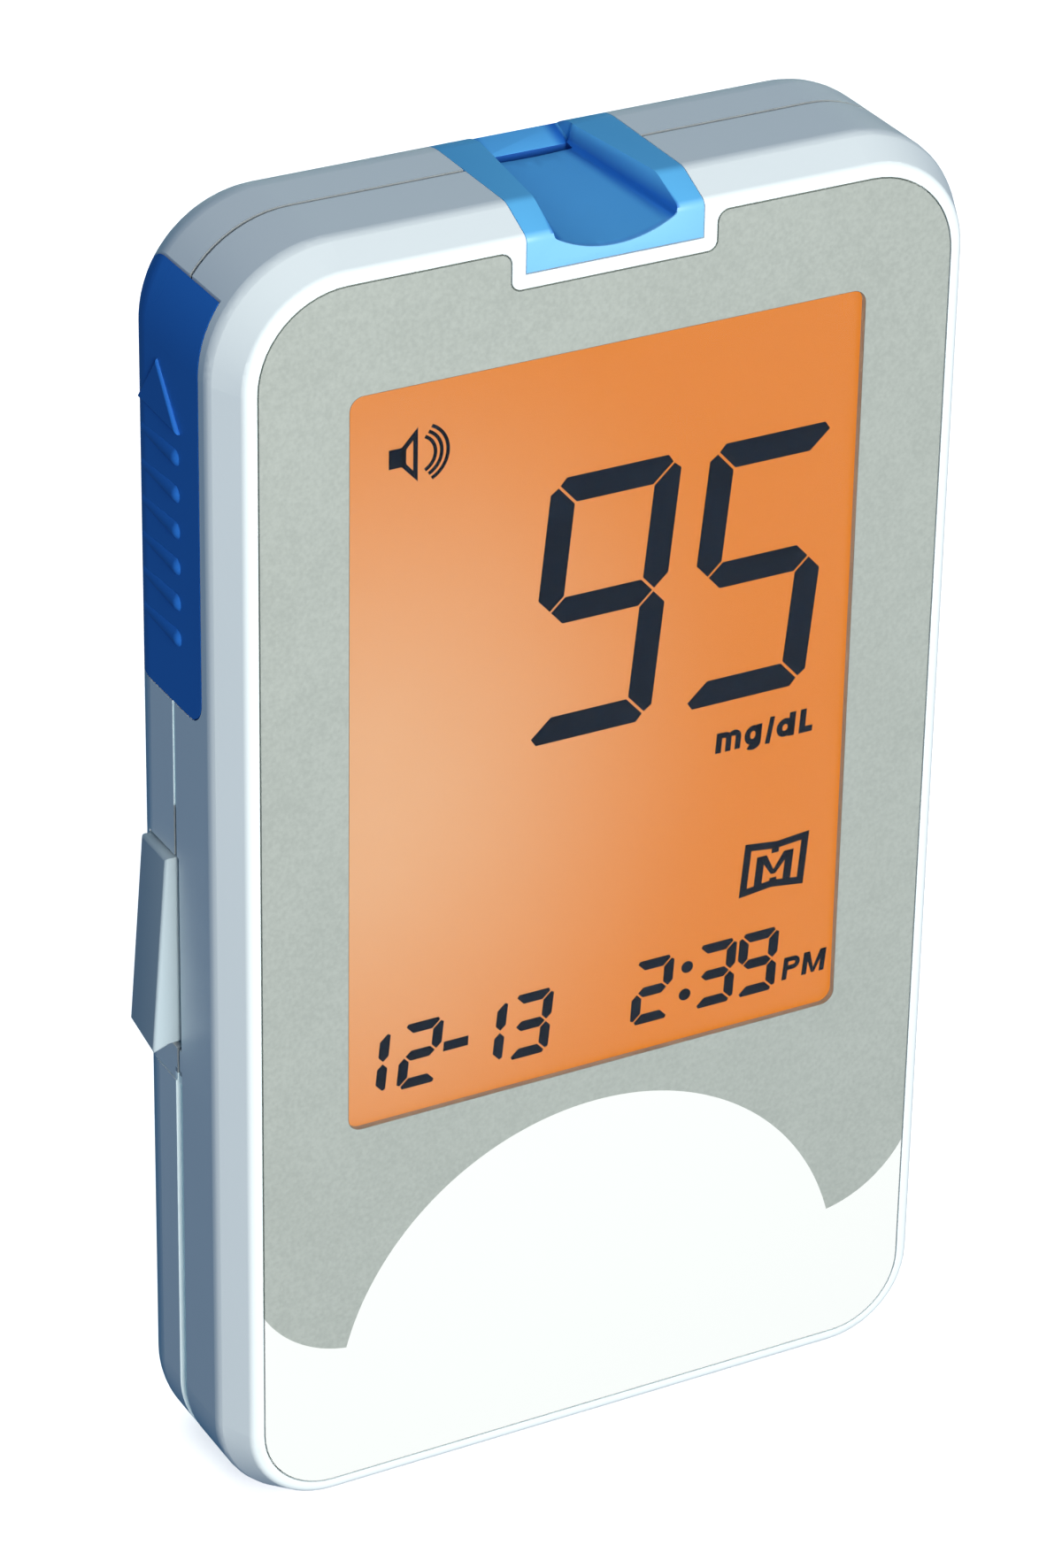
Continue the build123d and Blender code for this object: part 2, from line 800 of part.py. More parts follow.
# ------------------------------------------------------------------ circuit board
def main_board():
    """Circuit board, notched for the case screws and holed for its own screws."""
    height = board_top - board_bottom
    width = board_right - board_left
    outline = Pos((board_left + board_right) / 2, (board_bottom + board_top) / 2) * Rectangle(width, height)
    tab_left = -post_x - post_radius - 0.2
    tab_height = 2 * post_radius + 1.4
    tab = Rectangle(board_left - tab_left + 1, tab_height)
    outline += Pos((tab_left + board_left) / 2 + 0.5, left_post_z) * tab
    for side in (-1, 1):
        notch_x = side * (deck_screw_x + back_boss_radius)
        notch = Rectangle(4 * back_boss_radius + 0.6, 4 * back_boss_radius + 0.6)
        outline -= Pos(notch_x, deck_screw_z - back_boss_radius) * notch
    for x, z in case_screw_places[:2]:
        outline -= Pos(x, z) * Circle(front_boss_radius + 0.3)
    for x, z in post_places:
        outline -= Pos(x, z) * Circle(board_screw_radius + 0.1)
    return slab(outline, board_front, board_back)


def chip(x, z, width, height, thickness):
    """Flat package on the back of the board."""
    left = x - width / 2
    low = z - height / 2
    return block(left, left + width, board_back, board_back + thickness, low, low + height)


def board_chips():
    """Controller, voice memory, amplifier, crystal and regulator."""
    controller_x = strip_connector_width / 2 + controller_size / 2
    memory_x = strip_connector_width / 2 + memory_width / 2 + seat_gap
    side_chip_x = board_right - side_chip_border
    regulator_x = speaker_radius + regulator_size * 2
    controller_z = connector_bottom - controller_rise
    return [
        chip(controller_x, controller_z, controller_size, controller_size, controller_height),
        chip(-memory_x, connector_bottom - memory_rise, memory_width, memory_height, chip_thickness),
        chip(side_chip_x, speaker_z - side_chip_rise, side_chip_width, side_chip_height, chip_thickness),
        chip(side_chip_x, speaker_z + side_chip_rise, crystal_width, side_chip_height, chip_thickness),
        chip(-regulator_x, speaker_z - side_chip_rise, regulator_size, regulator_size, chip_thickness),
    ]


def strip_connector():
    """Socket block below the strip slot, with a channel right through it."""
    half = strip_connector_width / 2
    back = board_back + strip_connector_height
    body = block(-half, half, board_back, back, connector_bottom, connector_top)
    channel_half = strip_half + 0.15
    body -= block(-channel_half, channel_half, slot_front, slot_back, 0, case_height)
    for x in contact_places():
        body -= block(x - 0.45, x + 0.45, 0, slot_front + 0.1, 0, connector_top - 1.2)
    return body


def contact_places():
    """Places of the strip contacts across the socket."""
    return [-strip_half * 0.6, 0, strip_half * 0.6]


def strip_contacts():
    """Three leaves that press on the strip."""
    foot = connector_bottom - 1.5
    rise = slot_front - board_back - 0.1
    return [leaf_contact(x, foot, rise, strip_connector_length - 0.4) for x in contact_places()]


# ------------------------------------------------------------------ strip port
def trough_section(depth, half, floor, rise):
    """Cross-section of the trough: open above, flared, its floor flat or dished."""
    left = (-half, floor + rise)
    right = (half, floor + rise)
    top = case_height + 2
    top_half = half + trough_flare * (top - floor - rise) / trough_back_drop
    floor_line = ThreePointArc(left, (0, floor), right) if rise > 0 else Line(left, right)
    walls = Polyline(right, (top_half, top), (-top_half, top), left)
    section = make_face([floor_line] + list(walls.edges()))
    feet = section.vertices().sort_by(Axis.Y)[:2]
    return at_depth(depth) * fillet(feet, trough_foot_round)


def strip_port_guide():
    """Saddle over the top with a trough that leads a strip to the slot at its back wall."""
    saddle = block(-port_half, port_half, -1, case_back_edge, port_bottom, case_height + 1)
    body = meter_form(back_round) & saddle
    ears = block(-flange_half, flange_half, 0, case_depth, flange_bottom, case_height)
    body += ears & cavity_form(seat_gap)

    floor_z = case_height - trough_back_drop
    back_section = trough_section(slot_back, strip_half + 0.2, floor_z, 0)
    front_floor_z = case_height - trough_front_drop
    front_section = trough_section(-0.5, trough_front_width / 2, front_floor_z, trough_lip_rise)
    body -= loft([back_section, front_section])

    ramp_end = slot_back + trough_ramp_length
    ramp_top = floor_z + trough_ramp_rise
    ramp = Polyline((slot_back - 0.1, floor_z), (slot_back, floor_z), (ramp_end, ramp_top),
                    (ramp_end, case_height + 1), (slot_back - 0.1, case_height + 1), close=True)
    body -= extrude(Plane.YZ.offset(-trough_ramp_width / 2) * make_face(ramp), trough_ramp_width)

    collar_half = strip_half + 1.3
    body += block(-collar_half, collar_half, slot_front - 1.0, slot_back + 1.0,
                  connector_top + seat_gap, flange_bottom + 0.1)
    slot_half = strip_half + 0.15
    body -= block(-slot_half, slot_half, slot_front, slot_back, 0, case_height - trough_back_drop + 0.5)
    return body


# ------------------------------------------------------------------ ejector
def ejector_slider():
    """Blue slide that makes the left side's surface, with ribs, an arrow and two stems."""
    body = meter_form(back_round) & slider_zone(0)
    middle = (slider_front + case_depth) / 2
    grip_front = middle - grip_length / 2
    grip_back = middle + grip_length / 2
    front_crest = -(half_width + rib_height)
    back_crest = -(half_width + rib_back_height)
    rib_front = Vector(front_crest + rib_radius, grip_front + rib_radius, 0)
    rib_back = Vector(back_crest + rib_radius, grip_back - rib_radius, 0)
    along = rib_back - rib_front
    rib = extrude(Plane(origin=rib_front, z_dir=along) * Circle(rib_radius), along.length)
    rib += Pos(rib_front) * Sphere(rib_radius)
    rib += Pos(rib_back) * Sphere(rib_radius)
    for number in range(rib_count):
        body += Pos(0, 0, slider_bottom + rib_start + number * rib_pitch) * rib

    arrow_base = slider_bottom + rib_start + (rib_count - 1) * rib_pitch + arrow_gap
    arrow_tip = (middle, arrow_base + arrow_height)
    side_view = Polyline((grip_front, arrow_base), (grip_back, arrow_base), arrow_tip, close=True)
    top_view = Polyline((slider_face, grip_front), (front_crest, grip_front), (back_crest, grip_back),
                        (slider_face, grip_back), close=True)
    arrow = extrude(Plane.YZ.offset(slider_face) * make_face(side_view), -2 * slider_thickness)
    arrow &= Pos(0, 0, arrow_base) * extrude(make_face(top_view), arrow_height)
    face_edges = arrow.faces().sort_by(Axis.X)[0].edges()
    body += fillet(face_edges, arrow_edge_round)

    for z in (lower_stem_z, upper_stem_z):
        low = z - stem_length / 2
        body += block(slider_face - 0.2, carriage_right, stem_front, stem_back, low, low + stem_length)
    return body


def ejector_carriage():
    """Inner slide clipped on the stems; its arm carries the finger under the strip."""
    plate_front = back_front + carriage_front_gap
    plate_back = inner_back - carriage_back_gap
    bottom = arm_bottom - carriage_foot
    top = upper_stem_z + stem_length / 2 + carriage_head
    body = block(carriage_left, carriage_right, plate_front, plate_back, bottom, top)
    arm_front = slot_front - 0.4
    arm_back = slot_back + 0.9
    arm_end = finger_width / 2 + 0.3
    body += block(carriage_right - 0.2, arm_end, arm_front, arm_back, arm_bottom, arm_top)
    finger_front = strip_depth - finger_thickness / 2
    finger_back = strip_depth + finger_thickness / 2
    body += block(-finger_width / 2, finger_width / 2, finger_front, finger_back, arm_top - 0.2, finger_top)
    for z in (lower_stem_z, upper_stem_z):
        low = z - stem_length / 2
        body -= block(carriage_left - 1, carriage_right + 1, stem_front, stem_back, low, low + stem_length)
    return body


def ejector_spring():
    """Return spring between the carriage arm and the back shell's stop."""
    radius = (spring_diameter - spring_wire) / 2
    spring = coil(radius, spring_wire, spring_length - 0.1, spring_turns)
    return Pos(spring_x, strip_depth + 0.2, arm_top + 0.05) * spring


# ------------------------------------------------------------------ side key
def side_key():
    """Wedge-shaped key that tips in about the pin at its upper end."""
    top_x = -(half_width + key_proud_top)
    bottom_x = -(half_width + key_proud_bottom)
    hook_z = key_bottom - key_hook
    side_view = Polyline((key_inner, key_bottom), (-half_width, key_bottom), (bottom_x, hook_z),
                         (top_x, key_top), (key_inner, key_top), close=True)
    wedge = slab(make_face(side_view), key_front, key_back)
    slant = Polyline((key_front, hook_z), (key_back, hook_z + key_slant), (key_back, hook_z), close=True)
    wedge -= extrude(Plane.YZ.offset(key_inner) * make_face(slant), 3 * (bottom_x - key_inner))
    proud = [e for e in wedge.edges() if e.center().X < -half_width]
    wedge = fillet(proud, key_edge_round)

    arm_left = inner_left + 0.12
    flange = block(arm_left, key_inner, key_arm_front, key_arm_back, key_bottom - 1.6, key_bottom + 2)
    neck = block(arm_left, key_inner, key_arm_front, key_arm_back, key_top - 1.5, key_pin_z)
    hub = round_bar(key_pin_x, key_pin_z, key_pin_radius + 0.55, key_arm_front, key_arm_back)
    pin_front = back_front + seat_gap + 0.05
    pin_back = key_back - seat_gap - 0.05
    pin = round_bar(key_pin_x, key_pin_z, key_pin_radius, pin_front, pin_back)
    nub_x = switch_front - plunger_reach - seat_gap
    nub_half = plunger_radius
    nub = block(key_inner - 0.2, nub_x, plunger_depth - nub_half, plunger_depth + nub_half,
                switch_z - nub_half, switch_z + nub_half)
    return wedge + flange + neck + hub + pin + nub


def key_switch():
    """Side-acting switch on the board's left edge."""
    x0 = switch_front
    x1 = x0 + switch_width
    half = switch_length / 2
    body = block(x0, x1, board_back, board_back + switch_height, switch_z - half, switch_z + half)
    bore = Plane.YZ.offset(x0 - 1) * Pos(plunger_depth, switch_z) * Circle(plunger_radius + pin_clearance)
    return body - extrude(bore, 1 + plunger_sink)


def key_plunger():
    """Plunger of the side-acting switch."""
    start = switch_front - plunger_reach
    disc = Plane.YZ.offset(start) * Pos(plunger_depth, switch_z) * Circle(plunger_radius)
    return extrude(disc, plunger_reach + plunger_sink - key_press - seat_gap)


# ------------------------------------------------------------------ clock-setting button
def set_switch():
    """Switch on the board below the clock-setting button."""
    half = set_switch_size / 2
    z = deck_screw_z + 0.4
    left = set_button_x - half
    body = block(left, left + set_switch_size, board_back, set_switch_back, z - half + 0.6, z + half)
    return body - round_bar(set_button_x, deck_screw_z, 0.85, board_back + 0.4, case_depth)


def set_button():
    """Small recessed button in the deck; a flange under the deck keeps it in."""
    flange_radius = set_button_radius + set_button_flange_reach
    body = round_bar(set_button_x, deck_screw_z, set_button_radius, set_button_front, deck_back - 0.3)
    body += round_bar(set_button_x, deck_screw_z, flange_radius, set_button_front, deck_front - seat_gap)
    stem_front = board_back + 0.4 + set_button_press + 0.1
    body += round_bar(set_button_x, deck_screw_z, 0.8, stem_front, set_button_front + 0.2)
    return body


# ------------------------------------------------------------------ speaker
def speaker():
    """Speaker basket with its magnet at the front."""
    back = inner_back - gasket_thickness
    front = back - speaker_depth
    basket = round_bar(0, speaker_z, speaker_radius, front + 1.2, back)
    basket -= round_bar(0, speaker_z, speaker_radius - 1.2, front + 2.2, back + 1)
    basket += round_bar(0, speaker_z, speaker_radius * 0.6, front, front + 1.3)
    return basket


def speaker_cone():
    """Speaker membrane, domed in the middle."""
    back = inner_back - gasket_thickness
    sheet = round_bar(0, speaker_z, speaker_radius - 1.25, back - 0.9, back - 0.6)
    dome = Pos(0, back - 0.9, speaker_z) * Sphere(3.0)
    dome &= block(-5, 5, back - 0.9, back - 0.2, speaker_z - 5, speaker_z + 5)
    return sheet + dome


def speaker_gasket():
    """Foam ring between the speaker and the back shell."""
    ring = Circle(speaker_radius - 0.1) - Circle(speaker_radius - 1.6)
    return slab(Pos(0, speaker_z) * ring, inner_back - gasket_thickness, inner_back)


def speaker_contacts():
    """Two leaves from the board to the speaker."""
    basket_front = inner_back - gasket_thickness - speaker_depth + 1.2
    rise = basket_front - board_back - 0.05
    foot = speaker_z - speaker_radius - 1.0
    return [leaf_contact(x, foot, rise, 4.0) for x in (-2.0, 2.0)]


# ------------------------------------------------------------------ cells and contacts
def battery_cell(z, nub_side):
    """One cell across the meter, its nub on the given side."""
    body_length = cell_length - cell_nub_height
    body_x = -nub_side * cell_nub_height / 2
    body = Pos(body_x, cell_axis_depth, z) * Cylinder(cell_diameter / 2, body_length, rotation=(0, 90, 0))
    body = fillet(body.edges().filter_by(GeomType.CIRCLE), 0.5)
    nub_x = nub_side * (cell_half - cell_nub_height)
    nub = Cylinder(cell_nub_radius, 2 * cell_nub_height, rotation=(0, 90, 0))
    body += Pos(nub_x, cell_axis_depth, z) * nub
    return body


def battery_cells():
    """Two cells in series, nose to tail."""
    return [battery_cell(lower_cell_z, -1), battery_cell(upper_cell_z, 1)]


plate_x = tray_half - contact_inset - contact_sheet
positive_leg = (cell_axis_depth + 0.3, cell_axis_depth + 1.8)
negative_leg = (cell_axis_depth + 2.2, deck_front - 0.3)


def contact_plate(side, z0, z1):
    """Upright sheet behind the cells' ends."""
    x0, x1 = sorted((side * plate_x, side * (plate_x + contact_sheet)))
    middle = cell_axis_depth - 0.3
    return block(x0, x1, middle - contact_width / 2, middle + contact_width / 2, z0, z1)


def contact_bump(side, z):
    """Pressed bump that meets a cell's nub."""
    length = plate_x - cell_half - 0.05
    bump = Cone(contact_bump_radius, contact_bump_tip, length, rotation=(0, -side * 90, 0))
    return Pos(side * (plate_x - length / 2), cell_axis_depth, z) * bump


def battery_bridge():
    """Left contact that joins the two cells."""
    plate = contact_plate(-1, lower_cell_z - contact_foot, upper_cell_z + contact_reach)
    return plate + contact_bump(-1, lower_cell_z)


def board_tab(leg_front, leg_back, x0):
    """Strip over the tray's ceiling and the tab that is soldered to the board."""
    x1 = plate_x + contact_sheet
    low = tray_top + 0.1
    high = low + contact_sheet
    tab_front = board_back + 0.02
    tab = block(x0, x1, leg_front, leg_back, low, high)
    tab_end = x0 + contact_tab_width
    tab += block(x0, tab_end, tab_front, leg_back, low, high)
    tab += block(x0, tab_end, tab_front, tab_front + contact_sheet, low, board_bottom + contact_tab_rise)
    return tab


def battery_positive():
    """Contact for the upper cell's nub, with its leg to the board."""
    contact = contact_plate(1, upper_cell_z - contact_reach, upper_cell_z + contact_reach)
    contact += contact_bump(1, upper_cell_z)
    contact += block(plate_x, plate_x + contact_sheet, positive_leg[0], positive_leg[1],
                     upper_cell_z, tray_top + 0.1 + contact_sheet)
    return contact + board_tab(positive_leg[0], positive_leg[1], positive_tab_x)


def battery_negative():
    """Contact for the lower cell's flat end, with its leg to the board."""
    contact = contact_plate(1, lower_cell_z - contact_foot, lower_cell_z + contact_reach)
    contact += block(plate_x, plate_x + contact_sheet, cell_axis_depth + 1.5, negative_leg[1],
                     lower_cell_z - contact_foot, lower_cell_z + contact_reach)
    contact += block(plate_x, plate_x + contact_sheet, negative_leg[0], negative_leg[1],
                     lower_cell_z, tray_top + 0.1 + contact_sheet)
    return contact + board_tab(negative_leg[0], negative_leg[1], negative_tab_x)


def battery_springs():
    """Coils that press on the cells' flat ends."""
    length = plate_x - cell_half - 0.1
    springs = []
    for side, z in ((1, lower_cell_z), (-1, upper_cell_z)):
        spring = coil(contact_spring_radius, contact_spring_wire, length, contact_spring_turns)
        springs.append(Pos(side * (cell_half + 0.05), cell_axis_depth, z) * Rot(0, side * 90, 0) * spring)
    return springs


# ------------------------------------------------------------------ screws
def case_screws():
    """Four screws from the back shell into the front shell."""
    head = (case_screw_head_radius, case_screw_head_height)
    return [
        screw(x, z, case_screw_radius, *head, case_screw_seat, screw_tip)
        for x, z in case_screw_places
    ]


def board_screws():
    """Three screws that hold the board on its posts."""
    head = (board_screw_head_radius, board_screw_head_height)
    return [
        screw(x, z, board_screw_radius, *head, board_back, screw_tip)
        for x, z in post_places
    ]


# ------------------------------------------------------------------ output
pieces = [
    front_casing,
    back_casing,
    battery_cover,
    faceplate,
    display_window,
    plate_tape,
    lcd_glass,
    lcd_holder,
    backlight_diffuser,
    backlight_leds,
    lcd_connector,
    main_board,
    board_chips,
    strip_connector,
    strip_contacts,
    strip_port_guide,
    ejector_slider,
    ejector_carriage,
    ejector_spring,
    side_key,
    key_switch,
    key_plunger,
    set_switch,
    set_button,
    speaker,
    speaker_cone,
    speaker_gasket,
    speaker_contacts,
    battery_cells,
    battery_bridge,
    battery_positive,
    battery_negative,
    battery_springs,
    case_screws,
    board_screws,
]

# The origin is the middle of the flat strip that the meter stands on.
base_middle = (bevel_depth + case_depth - cover_back_round) / 2
to_origin = Pos(0, -base_middle, 0)

for piece in pieces:
    made = piece()
    solids = made if isinstance(made, list) else made.solids()
    placed = Compound(children=[to_origin * solid for solid in solids])
    export_step(placed, f"parts/{piece.__name__}.step")
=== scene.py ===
"""Hand-held blood glucose meter: finishes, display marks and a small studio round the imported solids."""
import math

import bmesh
import bpy
from mathutils import Matrix, Vector


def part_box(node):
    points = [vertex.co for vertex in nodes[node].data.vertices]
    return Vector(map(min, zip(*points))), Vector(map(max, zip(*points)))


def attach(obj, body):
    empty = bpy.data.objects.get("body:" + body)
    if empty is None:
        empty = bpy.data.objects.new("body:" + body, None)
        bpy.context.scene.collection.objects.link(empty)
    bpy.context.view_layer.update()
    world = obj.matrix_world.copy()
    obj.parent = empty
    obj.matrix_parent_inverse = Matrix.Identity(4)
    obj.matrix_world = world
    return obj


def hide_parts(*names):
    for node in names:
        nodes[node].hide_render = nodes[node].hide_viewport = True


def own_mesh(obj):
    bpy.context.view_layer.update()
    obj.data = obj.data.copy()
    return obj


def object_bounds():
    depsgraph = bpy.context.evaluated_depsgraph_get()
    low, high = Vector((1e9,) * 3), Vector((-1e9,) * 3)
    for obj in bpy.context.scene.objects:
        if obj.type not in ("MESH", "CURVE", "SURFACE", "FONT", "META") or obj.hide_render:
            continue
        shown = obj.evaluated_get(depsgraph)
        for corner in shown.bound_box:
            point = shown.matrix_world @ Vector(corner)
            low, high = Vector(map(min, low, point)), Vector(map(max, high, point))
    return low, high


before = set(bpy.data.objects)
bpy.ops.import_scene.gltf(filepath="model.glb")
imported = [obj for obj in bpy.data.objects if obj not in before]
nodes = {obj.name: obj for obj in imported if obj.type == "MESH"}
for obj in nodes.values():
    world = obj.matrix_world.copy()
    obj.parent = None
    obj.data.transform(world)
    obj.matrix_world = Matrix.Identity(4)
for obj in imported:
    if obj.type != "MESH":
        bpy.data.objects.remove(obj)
cad_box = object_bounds()

MM = 0.001
weld_gap = 0.0005 * MM

# ------------------------------------------------------------------ sizes read from the frame
window_low, window_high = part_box("display_window")
window_middle = (window_low + window_high) / 2
glass_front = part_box("lcd_glass")[0].y
case_low = cad_box[0]

# ------------------------------------------------------------------ display marks, in millimetres
# Places are measured from the middle of the window, x to the right and z up.
mark_thickness = 0.04
mark_clearance = 0.03
marks_middle = window_middle + Vector((-0.2, 0, 0.22)) * MM

result_digits = [("9", -4.78, -0.66), ("5", 7.42, -0.79)]
result_width = 8.03
result_half_height = 8.95
result_stroke = 1.93
result_gap = 0.13
result_clip = 1.1
result_lean = 0.102

date_digits = [("1", -18.94, -25.84), ("2", -14.82, -25.84), ("1", -9.8, -25.84), ("3", -6.18, -25.84)]
date_lean = 0.1
time_digits = [("2", 3.64, -25.73), ("3", 8.72, -25.73), ("9", 12.17, -25.73)]
time_lean = 0.055
clock_width = 2.45
clock_half_height = 2.17
clock_stroke = 0.77
clock_gap = 0.1
clock_clip = 0.44

lit_bars = {
    "1": ("upper_right", "lower_right"),
    "2": ("top", "upper_right", "middle", "lower_left", "bottom"),
    "3": ("top", "upper_right", "middle", "lower_right", "bottom"),
    "5": ("top", "upper_left", "middle", "lower_right", "bottom"),
    "9": ("top", "upper_left", "upper_right", "middle", "lower_right", "bottom"),
}


# ------------------------------------------------------------------ small helpers
def linear(code):
    """Linear colour from an sRGB hex code."""
    channels = [int(code[start:start + 2], 16) / 255 for start in (0, 2, 4)]
    return [c / 12.92 if c <= 0.04045 else ((c + 0.055) / 1.055) ** 2.4 for c in channels] + [1.0]


def connect(node, inputs):
    """Fill a node's inputs: each is a value, an output to link, or a node whose first output is linked."""
    for name, value in inputs.items():
        if isinstance(value, bpy.types.Node):
            value = next(socket for socket in value.outputs if socket.enabled)
        if isinstance(value, bpy.types.NodeSocket):
            node.id_data.links.new(value, node.inputs[name])
        else:
            node.inputs[name].default_value = value


def add(tree, kind, inputs=None, **settings):
    """Add a node with its settings, and fill its inputs."""
    node = tree.nodes.new(kind)
    for name, value in settings.items():
        setattr(node, name, value)
    connect(node, inputs or {})
    return node


def start_finish(name, constants):
    """New material with one Principled surface, its constant inputs set on the shader's own sockets."""
    material = bpy.data.materials.new(name)
    material.use_nodes = True
    tree = material.node_tree
    tree.nodes.clear()
    surface = add(tree, "ShaderNodeBsdfPrincipled", constants)
    add(tree, "ShaderNodeOutputMaterial", {"Surface": surface.outputs["BSDF"]})
    place = add(tree, "ShaderNodeTexCoord").outputs["Object"]
    return material, tree, surface, place


def grains(size_mm):
    """Texture scale for features of one size on coordinates in metres."""
    return 1 / (size_mm * MM)


def reopen(material):
    """Tree, surface, place along each axis and base colour of a finish that is to get more detail."""
    tree = material.node_tree
    surface = tree.nodes["Principled BSDF"]
    place = add(tree, "ShaderNodeTexCoord").outputs["Object"]
    axes = add(tree, "ShaderNodeSeparateXYZ", {"Vector": place}).outputs
    return tree, surface, axes, surface.inputs["Base Color"].links[0].from_socket


def dress(material, *names):
    """Give CAD nodes one finish."""
    for name in names:
        nodes[name].data.materials.clear()
        nodes[name].data.materials.append(material)


def place_piece(name, mesh, material, body):
    """New object for a finished mesh: material, body and material slot."""
    piece = bpy.data.objects.new(name, mesh)
    bpy.context.scene.collection.objects.link(piece)
    mesh.materials.clear()
    mesh.materials.append(material)
    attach(piece, body)
    return piece


# ------------------------------------------------------------------ finishes
def moulded_plastic(name, colour, shade, roughness, grain_mm=0.5, grain_height_mm=0.003):
    """Injection-moulded plastic: a faint drift in tone and gloss over a spark-eroded mould's fine grain.

    The grain of such a mould is finer than shown; it is drawn as coarse as it needs to show.
    """
    tone_mm = 14.0
    gloss_drift = 0.015
    material, tree, surface, place = start_finish(name, {"IOR": 1.52, "Metallic": 0.0})
    drift = add(tree, "ShaderNodeTexNoise", {"Vector": place, "Scale": grains(tone_mm), "Detail": 3.0})
    tone = add(tree, "ShaderNodeMix", {"Factor": drift, "A": linear(colour),
                                       "B": linear(shade)}, data_type="RGBA")
    gloss = add(tree, "ShaderNodeMapRange", {"Value": drift, "From Min": 0.3, "From Max": 0.7,
                                             "To Min": roughness - gloss_drift,
                                             "To Max": roughness + gloss_drift})
    grain = add(tree, "ShaderNodeTexNoise", {"Vector": place, "Scale": grains(grain_mm), "Detail": 2.0})
    bump = add(tree, "ShaderNodeBump", {"Height": grain, "Strength": 1.0, "Distance": grain_height_mm * MM})
    connect(surface, {"Base Color": tone, "Roughness": gloss, "Normal": bump})
    return material


def shell_plastic():
    """Satin white ABS of the shells.

    The seam band has painted light: a faint painted glow beside and below the slider, and painted shade
    along the top and round the side key. The seam is wider at the boot, and the side key hides the glow.
    """
    seam_mm = 8.65
    seam_half_mm = 0.19
    boot_seam_half_mm = 0.5
    key_margin_mm = 1.0
    boot_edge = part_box("battery_cover")[1].z
    slide_low, slide_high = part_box("ejector_slider")
    key_low, key_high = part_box("side_key")
    seam_y = case_low.y + seam_mm * MM
    key_middle = (key_low.z + key_high.z) / 2
    key_reach = (key_high.z - key_low.z) / 2 + key_margin_mm * MM

    material = moulded_plastic("abs_moulded_satin_white", "E9F5F7", "E4F1F3", 0.34)
    tree, surface, axes, clean = reopen(material)
    # Emission colour of the painted glow, a painted highlight in the seam band.
    surface.inputs["Emission Color"].default_value = linear("4B595B")
    from_seam = add(tree, "ShaderNodeMath", {0: axes["Y"], 1: seam_y}, operation="SUBTRACT")
    off_seam = add(tree, "ShaderNodeMath", {0: from_seam}, operation="ABSOLUTE")
    at_boot = add(tree, "ShaderNodeMath", {0: axes["Z"], 1: boot_edge}, operation="LESS_THAN")
    half = add(tree, "ShaderNodeMapRange", {"Value": at_boot, "To Min": seam_half_mm * MM,
                                            "To Max": boot_seam_half_mm * MM})
    in_seam_band = add(tree, "ShaderNodeMath", {0: off_seam, 1: half}, operation="LESS_THAN")
    from_key = add(tree, "ShaderNodeMath", {0: axes["Z"], 1: key_middle}, operation="SUBTRACT")
    off_key = add(tree, "ShaderNodeMath", {0: from_key}, operation="ABSOLUTE")
    clear = add(tree, "ShaderNodeMath", {0: off_key, 1: key_reach}, operation="GREATER_THAN")
    seam_off_key = add(tree, "ShaderNodeMath", {0: in_seam_band, 1: clear}, operation="MULTIPLY")
    low_down = add(tree, "ShaderNodeMapRange", {"Value": axes["Z"], "From Min": slide_low.z,
                                                "From Max": slide_high.z, "To Min": 1.0, "To Max": 0.0})
    # Painted highlight: the seam band off the side key glows below the slider and fades out up its length.
    glow = add(tree, "ShaderNodeMath", {0: seam_off_key, 1: low_down}, operation="MULTIPLY")
    # Painted shade: where the seam band does not glow, it is darkened towards A3ADB0.
    shade = add(tree, "ShaderNodeMath", {0: in_seam_band, 1: glow}, operation="SUBTRACT")
    colour = add(tree, "ShaderNodeMix", {"Factor": shade, "A": clean, "B": linear("A3ADB0")},
                 data_type="RGBA")
    connect(surface, {"Emission Strength": glow, "Base Color": colour})
    return material


